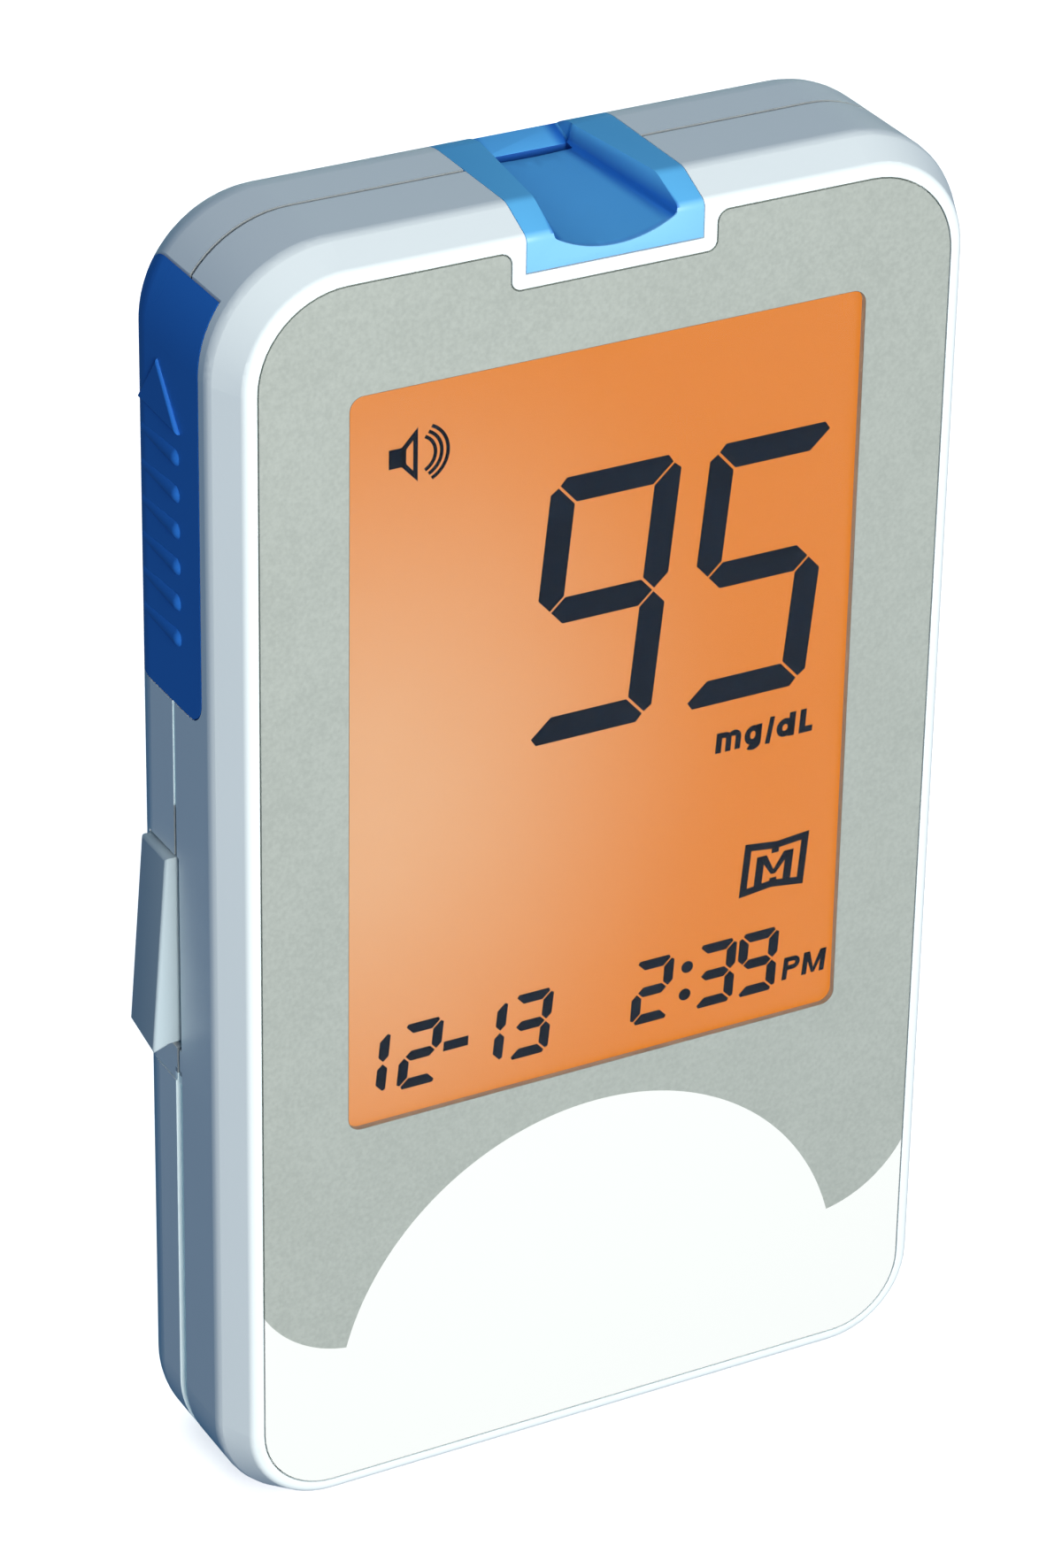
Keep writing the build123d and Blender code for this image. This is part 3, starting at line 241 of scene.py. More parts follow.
def port_plastic():
    """Sky blue ABS of the strip port: paler at its front lip, deeper down the trough's walls and in its slot.

    The paler lip is a painted highlight and the deeper blue is painted shade. The trough narrows from front
    to back. Its floor gets some painted shade everywhere, more by the walls and ahead of the lip. Sizes here
    are in millimetres, on the part's own axes.
    """
    front_y = -7.9
    front_half = 4.55
    back_y = 4.5
    back_half = 3.15
    wall_start = 0.12
    wall_end = 0.4
    wall_shade_reach = 1.0
    floor_shade = 0.3
    lip_start = -6.9
    lip_depth = 0.1
    ramp_shade = 0.6
    ramp_reach = 0.9
    slot_back = 4.4
    slot_drop = 1.42
    low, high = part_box("strip_port_guide")
    ramp_edge = low.y + lip_depth * MM
    slot_top = high.z - slot_drop * MM

    material = moulded_plastic("abs_moulded_satin_sky_blue_port", "66C2FA", "5FBAF4", 0.36)
    tree, surface, axes, clean = reopen(material)
    out = add(tree, "ShaderNodeMath", {0: axes["X"]}, operation="ABSOLUTE")
    half = add(tree, "ShaderNodeMapRange", {"Value": axes["Y"], "From Min": front_y * MM,
                                            "From Max": back_y * MM, "To Min": front_half * MM,
                                            "To Max": back_half * MM})
    past = add(tree, "ShaderNodeMath", {0: out, 1: half}, operation="SUBTRACT")
    near = add(tree, "ShaderNodeMapRange", {"Value": past, "From Min": -wall_shade_reach * MM,
                                            "From Max": 0.0, "To Min": floor_shade},
               interpolation_type="SMOOTHSTEP")
    inside = add(tree, "ShaderNodeMapRange", {"Value": past, "From Min": wall_start * MM,
                                              "From Max": wall_end * MM, "To Min": 1.0, "To Max": 0.0})
    wall = add(tree, "ShaderNodeMath", {0: near, 1: inside}, operation="MULTIPLY")
    ahead = add(tree, "ShaderNodeMapRange", {"Value": axes["Y"], "From Min": ramp_edge,
                                             "From Max": ramp_edge + ramp_reach * MM,
                                             "To Min": ramp_shade, "To Max": 0.0},
                interpolation_type="SMOOTHSTEP")
    ramp = add(tree, "ShaderNodeMath", {0: ahead, 1: inside}, operation="MULTIPLY")
    # Painted shade down the trough's walls, over its floor and ahead of the ramp.
    most = add(tree, "ShaderNodeMath", {0: wall, 1: ramp}, operation="MAXIMUM")
    off_front = add(tree, "ShaderNodeMath", {0: axes["Y"], 1: ramp_edge}, operation="GREATER_THAN")
    painted_trough_shade = add(tree, "ShaderNodeMath", {0: most, 1: off_front}, operation="MULTIPLY")
    # Painted shade in the slot below the ramp.
    deep = add(tree, "ShaderNodeMath", {0: axes["Z"], 1: slot_top}, operation="LESS_THAN")
    far = add(tree, "ShaderNodeMath", {0: axes["Y"], 1: slot_back * MM}, operation="GREATER_THAN")
    narrow = add(tree, "ShaderNodeMath", {0: out, 1: back_half * MM}, operation="LESS_THAN")
    under = add(tree, "ShaderNodeMath", {0: deep, 1: far}, operation="MULTIPLY")
    painted_slot_shade = add(tree, "ShaderNodeMath", {0: under, 1: narrow}, operation="MULTIPLY")
    # Painted highlight: the front lip is paled towards 7EC4F3.
    behind_lip = add(tree, "ShaderNodeMapRange", {"Value": axes["Y"], "From Min": lip_start * MM,
                                                  "From Max": low.y, "To Min": 1.0, "To Max": 0.0},
                     interpolation_type="SMOOTHSTEP")
    colour = add(tree, "ShaderNodeMix", {"Factor": behind_lip, "A": linear("7EC4F3"), "B": clean},
                 data_type="RGBA")
    # Painted shade mixed in: 2068C4 in the trough, 164E9C in the slot.
    for share, tint in ((painted_trough_shade, "2068C4"), (painted_slot_shade, "164E9C")):
        colour = add(tree, "ShaderNodeMix", {"Factor": share, "A": colour,
                                             "B": linear(tint)}, data_type="RGBA")
    connect(surface, {"Base Color": colour})
    return material


def drawn_metal(name, colour, shade, roughness, stretch=(1, 1, 1)):
    """Metal with fine drawing or rolling streaks, drawn coarser than real ones.

    An axis whose stretch is under one is the way that the streaks run.
    """
    streak_mm = 0.25
    gloss_spread = 0.08
    material, tree, surface, place = start_finish(name, {"Metallic": 1.0})
    along = add(tree, "ShaderNodeMapping", {"Vector": place, "Scale": stretch})
    streaks = add(tree, "ShaderNodeTexNoise", {"Vector": along, "Scale": grains(streak_mm), "Detail": 3.0})
    tone = add(tree, "ShaderNodeMix", {"Factor": streaks, "A": linear(colour),
                                       "B": linear(shade)}, data_type="RGBA")
    gloss = add(tree, "ShaderNodeMapRange", {"Value": streaks, "To Min": roughness - gloss_spread,
                                             "To Max": roughness + gloss_spread})
    bump = add(tree, "ShaderNodeBump", {"Height": streaks, "Strength": 1.0, "Distance": 0.002 * MM})
    connect(surface, {"Base Color": tone, "Roughness": gloss, "Normal": bump})
    return material


def printed_plate_film():
    """Polycarbonate film, printed behind in silver and white ink: a satin sheet with a fine metallic fleck.

    The silver stops at a white dome low on the plate, and at a round scallop on each side of it. The fleck is
    drawn coarser than the ink's own.
    """
    dome_middle = Vector((0.07, 0, -51.15)) * MM + window_middle
    dome_radius = 20.36 * MM
    scallop_x = 18.2 * MM
    scallop_z = window_middle.z - 36.9 * MM
    scallop_radius = 8.95 * MM
    fleck_mm = 0.28
    mottle_mm = 5.0
    mottle_share = 0.4

    material, tree, surface, place = start_finish(
        "polycarbonate_film_printed_silver_and_white",
        {"IOR": 1.58, "Coat Weight": 0.5, "Coat Roughness": 0.16, "Coat IOR": 1.5})
    axes = add(tree, "ShaderNodeSeparateXYZ", {"Vector": place}).outputs
    mirrored = add(tree, "ShaderNodeMath", {0: axes["X"]}, operation="ABSOLUTE")
    flat = add(tree, "ShaderNodeCombineXYZ", {"X": axes["X"], "Z": axes["Z"]})
    folded = add(tree, "ShaderNodeCombineXYZ", {"X": mirrored, "Z": axes["Z"]})
    from_dome = add(tree, "ShaderNodeVectorMath", {0: flat, 1: (dome_middle.x, 0, dome_middle.z)},
                    operation="DISTANCE")
    from_scallop = add(tree, "ShaderNodeVectorMath", {0: folded, 1: (scallop_x, 0, scallop_z)},
                       operation="DISTANCE")
    in_dome = add(tree, "ShaderNodeMath", {0: from_dome, 1: dome_radius}, operation="LESS_THAN")
    off_scallop = add(tree, "ShaderNodeMath", {0: from_scallop, 1: scallop_radius},
                      operation="GREATER_THAN")
    low_down = add(tree, "ShaderNodeMath", {0: axes["Z"], 1: scallop_z}, operation="LESS_THAN")
    below = add(tree, "ShaderNodeMath", {0: off_scallop, 1: low_down}, operation="MULTIPLY")
    white = add(tree, "ShaderNodeMath", {0: in_dome, 1: below}, operation="MAXIMUM")
    fleck = add(tree, "ShaderNodeTexNoise", {"Vector": place, "Scale": grains(fleck_mm), "Detail": 1.0})
    mottle = add(tree, "ShaderNodeTexNoise", {"Vector": place, "Scale": grains(mottle_mm), "Detail": 1.0})
    faint = add(tree, "ShaderNodeMath", {0: mottle, 1: mottle_share}, operation="MULTIPLY")
    both = add(tree, "ShaderNodeMath", {0: fleck, 1: faint}, operation="ADD")
    sparkle = add(tree, "ShaderNodeMapRange", {"Value": both, "From Min": 0.45, "From Max": 0.95})
    silver = add(tree, "ShaderNodeMix", {"Factor": sparkle, "A": linear("B7C0B7"),
                                         "B": linear("C1CAC1")}, data_type="RGBA")
    colour = add(tree, "ShaderNodeMix", {"Factor": white, "A": silver,
                                         "B": linear("E6EBE8")}, data_type="RGBA")
    metal = add(tree, "ShaderNodeMapRange", {"Value": white, "To Min": 0.35, "To Max": 0.0})
    gloss = add(tree, "ShaderNodeMapRange", {"Value": fleck, "To Min": 0.4, "To Max": 0.48})
    bump = add(tree, "ShaderNodeBump", {"Height": mottle, "Strength": 1.0, "Distance": 0.0015 * MM})
    connect(surface, {"Base Color": colour, "Metallic": metal, "Roughness": gloss, "Normal": bump})
    return material


def backlit_display_glass():
    """Display glass over an amber backlight: it glows, paler in a soft pool towards its left edge."""
    pool = window_middle + Vector((-19.4, 0, -3.0)) * MM
    pool_radius = 33.5 * MM
    pool_squash = 0.84
    haze_mm = 9.0
    material, tree, surface, place = start_finish(
        "liquid_crystal_glass_amber_backlit",
        {"Base Color": linear("241608"), "Roughness": 0.35, "IOR": 1.52, "Specular IOR Level": 0.1,
         "Emission Strength": 1.0})
    squash = add(tree, "ShaderNodeMapping", {"Vector": place, "Scale": (1, 0, pool_squash),
                                             "Location": (-pool.x, 0, -pool.z * pool_squash)})
    away = add(tree, "ShaderNodeVectorMath", {0: squash, 1: (0, 0, 0)}, operation="DISTANCE")
    fade = add(tree, "ShaderNodeMapRange", {"Value": away, "From Min": 0.0, "From Max": pool_radius,
                                            "To Min": 1.0, "To Max": 0.0}, interpolation_type="SMOOTHSTEP")
    haze = add(tree, "ShaderNodeTexNoise", {"Vector": place, "Scale": grains(haze_mm), "Detail": 2.0})
    drift = add(tree, "ShaderNodeMapRange", {"Value": haze, "To Min": 0.9, "To Max": 1.06})
    share = add(tree, "ShaderNodeMath", {0: fade, 1: drift}, operation="MULTIPLY")
    glow = add(tree, "ShaderNodeMix", {"Factor": share, "A": linear("E08230"), "B": linear("E7B185")},
               data_type="RGBA")
    connect(surface, {"Emission Color": glow})
    return material


def clear_acrylic():
    """Cast acrylic with a low-glare hard coat: clear, its reflections dimmed and barely rippled.

    The ripple of such a sheet is longer than 20 mm; it is drawn a little shorter so that it shows at all.
    """
    ripple_mm = 14.0
    material, tree, surface, place = start_finish(
        "cast_acrylic_low_glare",
        {"Base Color": linear("FFFFFF"), "Transmission Weight": 1.0, "IOR": 1.49, "Specular IOR Level": 0.15,
         "Specular Tint": linear("3C4A5C")})
    ripple = add(tree, "ShaderNodeTexNoise", {"Vector": place, "Scale": grains(ripple_mm), "Detail": 0.0})
    gloss = add(tree, "ShaderNodeMapRange", {"Value": ripple, "To Min": 0.0, "To Max": 0.04})
    connect(surface, {"Roughness": gloss})
    return material


def display_ink():
    """Energised liquid crystal: near-black with a blue cast, mottled a little where the cell is thicker."""
    mottle_mm = 2.5
    material, tree, surface, place = start_finish(
        "liquid_crystal_dark", {"Roughness": 0.5, "IOR": 1.5, "Specular IOR Level": 0.05})
    mottle = add(tree, "ShaderNodeTexNoise", {"Vector": place, "Scale": grains(mottle_mm), "Detail": 2.0})
    tone = add(tree, "ShaderNodeMix", {"Factor": mottle, "A": linear("020B16"),
                                       "B": linear("051220")}, data_type="RGBA")
    connect(surface, {"Base Color": tone})
    return material


def board_laminate():
    """Glass-epoxy board under green solder mask: copper runs show as paler, raised lines."""
    run_pitch_mm = 1.27
    weave_mm = 0.6
    material, tree, surface, place = start_finish(
        "glass_epoxy_green_solder_mask", {"IOR": 1.5, "Coat Weight": 0.4})
    turned = add(tree, "ShaderNodeMapping", {"Vector": place, "Rotation": (math.radians(90), 0, 0)})
    runs = add(tree, "ShaderNodeTexBrick", {"Vector": turned,
                                            "Scale": grains(run_pitch_mm), "Mortar Size": 0.12,
                                            "Brick Width": 5.0, "Row Height": 1.0,
                                            "Color1": linear("1E6B3C"), "Color2": linear("22733F"),
                                            "Mortar": linear("39905A")})
    weave = add(tree, "ShaderNodeTexNoise", {"Vector": place, "Scale": grains(weave_mm), "Detail": 2.0})
    gloss = add(tree, "ShaderNodeMapRange", {"Value": weave, "To Min": 0.3, "To Max": 0.5})
    bump = add(tree, "ShaderNodeBump", {"Height": runs.outputs["Fac"], "Strength": 1.0,
                                        "Distance": 0.03 * MM})
    connect(surface, {"Base Color": runs.outputs["Color"], "Roughness": gloss, "Normal": bump})
    return material


def cell_sleeve():
    """Printed shrink sleeve round a steel can: plain dark sleeve, one copper-coloured band, bare ends."""
    bare_end_mm = 21.0
    band_start_mm = 11.5
    scuff_mm = 1.2
    material, tree, surface, place = start_finish("shrink_sleeve_on_nickel_plated_can", {"IOR": 1.5})
    axes = add(tree, "ShaderNodeSeparateXYZ", {"Vector": place}).outputs
    out = add(tree, "ShaderNodeMath", {0: axes["X"]}, operation="ABSOLUTE")
    bare = add(tree, "ShaderNodeMath", {0: out, 1: bare_end_mm * MM}, operation="GREATER_THAN")
    band = add(tree, "ShaderNodeMath", {0: axes["X"], 1: band_start_mm * MM}, operation="GREATER_THAN")
    sleeve = add(tree, "ShaderNodeMix", {"Factor": band, "A": linear("23272D"), "B": linear("B87A46")},
                 data_type="RGBA")
    colour = add(tree, "ShaderNodeMix", {"Factor": bare, "A": sleeve, "B": linear("C9C8C4")},
                 data_type="RGBA")
    scuffs = add(tree, "ShaderNodeTexNoise", {"Vector": place, "Scale": grains(scuff_mm), "Detail": 4.0})
    gloss = add(tree, "ShaderNodeMapRange", {"Value": scuffs, "To Min": 0.22, "To Max": 0.42})
    connect(surface, {"Base Color": colour, "Metallic": bare, "Roughness": gloss})
    return material


def striped_elastomer():
    """Silicone strip with fine conducting layers across it, drawn at twice their real pitch."""
    pitch_mm = 0.4
    full_turn = 6.283
    material, tree, surface, place = start_finish(
        "silicone_with_carbon_layers", {"Roughness": 0.6, "IOR": 1.41})
    layers = add(tree, "ShaderNodeTexWave", {"Vector": place, "Scale": grains(pitch_mm) / full_turn},
                 wave_type="BANDS", bands_direction="X")
    tone = add(tree, "ShaderNodeMix", {"Factor": layers.outputs["Fac"], "A": linear("1B1B1D"),
                                       "B": linear("E2A79C")}, data_type="RGBA")
    connect(surface, {"Base Color": tone})
    return material


def open_cell_foam():
    """Black urethane foam: matte, pitted by open cells about a third of a millimetre across."""
    cell_mm = 0.35
    material, tree, surface, place = start_finish("urethane_foam_open_cell", {"Roughness": 0.95, "IOR": 1.45})
    cells = add(tree, "ShaderNodeTexVoronoi", {"Vector": place, "Scale": grains(cell_mm)})
    tone = add(tree, "ShaderNodeMix", {"Factor": cells.outputs["Distance"], "A": linear("0E0E0F"),
                                       "B": linear("333336")}, data_type="RGBA")
    bump = add(tree, "ShaderNodeBump", {"Height": cells.outputs["Distance"], "Strength": 1.0,
                                        "Distance": 0.08 * MM})
    connect(surface, {"Base Color": tone, "Normal": bump})
    return material


# ------------------------------------------------------------------ display marks
def digit_bars(width, half_height, stroke, gap, clip):
    """Outlines of a digit's seven bars, mitred where they meet, round a cell from (0, 0) upwards."""
    half = stroke / 2
    top = 2 * half_height + half
    upper = [(-half + clip, top), (width + half - clip, top),
             (width + half - clip / 2 - gap, top - clip / 2), (width - half - gap, top - stroke),
             (half + gap, top - stroke), (-half + clip / 2 + gap, top - clip / 2)]
    side = [(-half, half_height + half + gap), (-half, top - clip), (-half + clip / 2, top - clip / 2 - gap),
            (half, top - stroke - gap), (half, half_height + half + gap), (0, half_height + gap)]
    middle = [(gap, half_height), (half + gap, half_height + half),
              (width - half - gap, half_height + half), (width - gap, half_height),
              (width - half - gap, half_height - half), (half + gap, half_height - half)]

    def flip_across(outline):
        return [(width - x, z) for x, z in outline]

    def flip_down(outline):
        return [(x, 2 * half_height - z) for x, z in outline]

    return {"top": upper, "middle": middle, "bottom": flip_down(upper), "upper_left": side,
            "upper_right": flip_across(side), "lower_left": flip_down(side),
            "lower_right": flip_down(flip_across(side))}


def digits(places, width, half_height, stroke, gap, clip, lean):
    """Outlines of the lit bars of several leaning digits."""
    bars = digit_bars(width, half_height, stroke, gap, clip)
    outlines = []
    for digit, left, foot in places:
        for bar in lit_bars[digit]:
            outlines.append([(left + x + lean * z, foot + z) for x, z in bars[bar]])
    return outlines


def ribbon(points, width, closed=False):
    """Outlines of a stroke of even width along a line, one four-sided piece for each run."""
    sharpest_turn = 0.4
    count = len(points)
    sides = []
    for number, point in enumerate(points):
        before = points[number - 1] if closed or number else None
        after = points[(number + 1) % count] if closed or number < count - 1 else None
        runs = []
        if before is not None:
            runs.append((Vector(point) - Vector(before)).normalized())
        if after is not None:
            runs.append((Vector(after) - Vector(point)).normalized())
        along = sum(runs, Vector((0, 0))).normalized()
        across = Vector((-along.y, along.x))
        reach = width / 2 / max(sharpest_turn, along.dot(runs[0]))
        sides.append((Vector(point) + across * reach, Vector(point) - across * reach))
    joins = count if closed else count - 1
    outlines = []
    for number in range(joins):
        start = sides[number]
        end = sides[(number + 1) % count]
        outlines.append([start[0], start[1], end[1], end[0]])
    return outlines


def arc(middle_x, middle_z, radius_x, radius_z, start, end, steps):
    """Points along an arc, angles in degrees from the right and turning upwards."""
    points = []
    for step in range(steps + 1):
        angle = math.radians(start + (end - start) * step / steps)
        points.append((middle_x + radius_x * math.cos(angle), middle_z + radius_z * math.sin(angle)))
    return points


def leaned(outlines, left, foot, lean):
    """Outlines moved to a place on the display and leaned to the right."""
    return [[(left + x + lean * z, foot + z) for x, z in outline] for outline in outlines]


def flat_solids(name, outlines, start, travel):
    """Thin solids from outlines across x and z, in metres, drawn out from one depth along y."""
    build = bmesh.new()
    for outline in outlines:
        build.faces.new([build.verts.new((x, start, z)) for x, z in outline])
    bmesh.ops.remove_doubles(build, verts=build.verts, dist=weld_gap)
    for face in build.faces:
        if face.normal.y > 0:
            face.normal_flip()
    grown = bmesh.ops.extrude_face_region(build, geom=build.faces[:], use_keep_orig=True)
    moved = [part for part in grown["geom"] if isinstance(part, bmesh.types.BMVert)]
    bmesh.ops.translate(build, verts=moved, vec=(0, travel, 0))
    bmesh.ops.recalc_face_normals(build, faces=build.faces)
    mesh = bpy.data.meshes.new(name)
    build.to_mesh(mesh)
    build.free()
    return mesh


def bold_m(left, foot, width, height, stroke, dip):
    """Outlines of a heavy letter: two stems, and two slants from their heads that meet above the foot."""
    top = foot + height
    middle = left + width / 2
    tip = stroke * 0.3
    left_stem = [(left, foot), (left + stroke, foot), (left + stroke, top), (left, top)]
    left_slant = [(left + stroke * 0.2, top), (left + stroke * 1.25, top), (middle + tip, foot + dip),
                  (middle - tip, foot + dip)]
    halves = [left_stem, left_slant]
    return halves + [[(2 * middle - x, z) for x, z in outline] for outline in halves]


def unit_letters():
    """Strokes of the unit under the result, in letter boxes 1.85 mm tall."""
    stroke = 0.45
    strokes = ribbon([(0.22, 0), (0.22, 1.56)], stroke)
    for left in (0.22, 0.99):
        arch = [(left + 0.14, 1.14)] + arc(left + 0.42, 0.98, 0.35, 0.36, 140, 0, 6) + [(left + 0.77, 0)]
        strokes += ribbon(arch, stroke - 0.02)
    strokes += ribbon(arc(2.93, 0.79, 0.44, 0.54, 0, 345, 15), stroke - 0.02, closed=True)
    strokes += ribbon([(3.4, 1.54), (3.4, 0.16)] + arc(2.98, 0.16, 0.42, 0.33, -20, -140, 6), stroke - 0.02)
    strokes += ribbon([(4.18, -0.19), (4.42, 1.86)], stroke - 0.08)
    strokes += ribbon(arc(5.52, 0.75, 0.45, 0.5, 0, 345, 15), stroke, closed=True)
    strokes += ribbon([(6.06, 0), (6.06, 1.84)], stroke + 0.04)
    strokes += ribbon([(6.93, 1.84), (6.93, 0.22), (7.76, 0.22)], stroke + 0.02)
    return strokes


def half_day_letters():
    """Strokes of the afternoon mark beside the clock."""
    height = 1.8
    stroke = 0.39
    strokes = ribbon([(0, 0), (0, height)], stroke)
    bowl = [(0, 1.61), (0.62, 1.61)] + arc(0.62, 1.27, 0.34, 0.34, 80, -80, 8) + [(0.62, 0.93), (0, 0.93)]
    strokes += ribbon(bowl, stroke - 0.02)
    strokes += bold_m(1.44, 0, 1.84, height, stroke, 0.04)
    return strokes


def memory_mark():
    """Framed letter: a leaning frame, waisted above and below, a tooth in each bar, and a bold letter."""
    corners = [(0.27, 0.27), (2.6, 0.52), (4.93, 0.19), (4.92, 3.78), (2.6, 3.58), (0.28, 3.88)]
    frame_line = ribbon(corners, 0.55, closed=True)
    upper_tooth = [(2.27, 2.98), (2.84, 2.98), (2.84, 3.5), (2.27, 3.5)]
    lower_tooth = [(2.37, 0.6), (2.92, 0.6), (2.92, 0.97), (2.37, 0.97)]
    return frame_line + [upper_tooth, lower_tooth] + bold_m(1.12, 0.62, 2.96, 2.29, 0.62, 0.67)


def sound_mark():
    """Small loudspeaker: a filled box, an open horn and three arcs of sound."""
    box = [[(-16.03, 21.64), (-14.9, 21.66), (-14.9, 23.03), (-16.03, 23.04)]]
    horn = ribbon([(-14.95, 21.75), (-14.08, 20.8), (-14.08, 23.86), (-14.95, 22.93)], 0.36, closed=True)
    sound = []
    for middle_x, radius in ((-13.95, 1.34), (-13.84, 1.7), (-13.78, 2.11)):
        sound += ribbon(arc(middle_x, 22.29, radius, radius, -64.5, 64.5, 14), 0.25)
    return box + horn + sound


def clock_marks():
    """Dash of the date and the colon of the time."""
    dash = [[(-11.59, -24.02), (-9.66, -24.02), (-9.62, -23.27), (-11.53, -23.27)]]
    colon = [arc(x, z, 0.47, 0.47, 0, 345, 23) for x, z in ((7.78, -22.42), (7.64, -24.64))]
    return dash + colon


def display_marks(ink):
    """Every mark that the display shows, each as its own thin piece."""
    result = digits(result_digits, result_width, result_half_height, result_stroke, result_gap, result_clip,
                    result_lean)
    clock = clock_marks()
    for places, lean in ((date_digits, date_lean), (time_digits, time_lean)):
        clock += digits(places, clock_width, clock_half_height, clock_stroke, clock_gap, clock_clip, lean)
    shapes = {
        "display_result": result,
        "display_clock": clock,
        "display_unit": leaned(unit_letters(), 9.45, -5.73, 0.07),
        "display_half_day": leaned(half_day_letters(), 15.79, -25.64, 0.1),
        "display_memory_mark": leaned(memory_mark(), 11.81, -17.86, 0.09),
        "display_sound_mark": sound_mark(),
    }
    for name, outlines in shapes.items():
        placed = [[(marks_middle.x + x * MM, marks_middle.z + z * MM) for x, z in outline]
                  for outline in outlines]
        mesh = flat_solids(name, placed, glass_front - mark_clearance * MM, -mark_thickness * MM)
        place_piece(name, mesh, ink, "case")


# ------------------------------------------------------------------ pieces with softened edges
def softened(node, material, body, width_mm, grow_mm):
    """A node's own shape with its sharp outer edges rounded a little, as moulding leaves them.

    grow_mm moves its left and right sides out, and its front face back, by a part of the gap round it.
    """
    sharp_angle = math.radians(35)
    flat_angle = math.radians(0.5)
    low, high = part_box(node)
    width = high.x - low.x
    depth = high.y - low.y
    build = bmesh.new()
    build.from_mesh(nodes[node].data)
    bmesh.ops.remove_doubles(build, verts=build.verts, dist=weld_gap)
    bmesh.ops.dissolve_limit(build, angle_limit=flat_angle, verts=build.verts, edges=build.edges)
    for corner in build.verts:
        corner.co.x += grow_mm[0] * MM * (corner.co.x - (low.x + high.x) / 2) / (width / 2)
        corner.co.y += grow_mm[1] * MM * (high.y - corner.co.y) / depth
    weight = build.edges.layers.float.new("bevel_weight_edge")
    for edge in build.edges:
        outer = edge.is_manifold and edge.is_convex and edge.calc_face_angle() > sharp_angle
        edge[weight] = 1.0 if outer else 0.0
    mesh = bpy.data.meshes.new(node + "_softened")
    build.to_mesh(mesh)
    build.free()
    source = bpy.data.objects.new(node + "_source", mesh)
    bpy.context.scene.collection.objects.link(source)
    bevel = source.modifiers.new("softened_edges", "BEVEL")
    bevel.width = width_mm * MM
    bevel.segments = 3
    bevel.limit_method = "WEIGHT"
    bevel.use_clamp_overlap = True
    finished = bpy.data.meshes.new_from_object(source.evaluated_get(bpy.context.evaluated_depsgraph_get()))
    bpy.data.objects.remove(source)
    for face in finished.polygons:
        face.use_smooth = True
    finished.set_sharp_from_angle(angle=sharp_angle)
    finished.name = node + "_softened"
    piece = place_piece(node + "_softened", finished, material, body)
    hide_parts(node)


# ------------------------------------------------------------------ added pieces
def closed_copy(node, name, rounded):
    """A copy of a node's mesh with its loose triangles joined, shaded smooth where it is rounded."""
    build = bmesh.new()
    build.from_mesh(nodes[node].data)
    bmesh.ops.remove_doubles(build, verts=build.verts, dist=weld_gap)
    mesh = bpy.data.meshes.new(name)
    build.to_mesh(mesh)
    build.free()
    for face in mesh.polygons:
        face.use_smooth = rounded
    return mesh


def live_ejector_spring(wire):
    """The slider's return spring, as a smooth-shaded copy on the case in place of the CAD one."""
    low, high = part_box("ejector_spring")
    seat = (low + high) / 2
    seat.z = high.z
    mesh = closed_copy("ejector_spring", "ejector_spring_live", True)
    piece = place_piece("ejector_spring_live", mesh, wire, "case")
    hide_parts("ejector_spring")
    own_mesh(piece)


def inked_window(clear, ink):
    """The window with its cut edge inked, so that the edge doesn't pipe light."""
    edge_slope = 0.5
    mesh = closed_copy("display_window", "display_window_inked_edge", False)
    piece = place_piece("display_window_inked_edge", mesh, clear, "case")
    mesh.materials.append(ink)
    for face in mesh.polygons:
        face.material_index = 1 if abs(face.normal.y) < edge_slope else 0
    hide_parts("display_window")


def blank_label(film):
    """Bare label sheet in its recess on the back."""
    width = 33.4
    height = 16.4
    corner = 1.3
    thickness = 0.12
    recess_depth = 0.25
    screw_head_diameter = 3.6
    middle_z = (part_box("speaker")[1].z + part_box("case_screws")[1].z - screw_head_diameter * MM) / 2
    recess_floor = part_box("back_casing")[1].y - recess_depth * MM
    outline = []
    for across, up, start in ((1, 1, 0), (-1, 1, 90), (-1, -1, 180), (1, -1, 270)):
        corner_x = across * (width / 2 - corner)
        corner_z = up * (height / 2 - corner)
        outline += arc(corner_x, corner_z, corner, corner, start, start + 90, 6)
    placed = [(x * MM, middle_z + z * MM) for x, z in outline]
    mesh = flat_solids("blank_label", [placed], recess_floor, thickness * MM)
    place_piece("blank_label", mesh, film, "case")


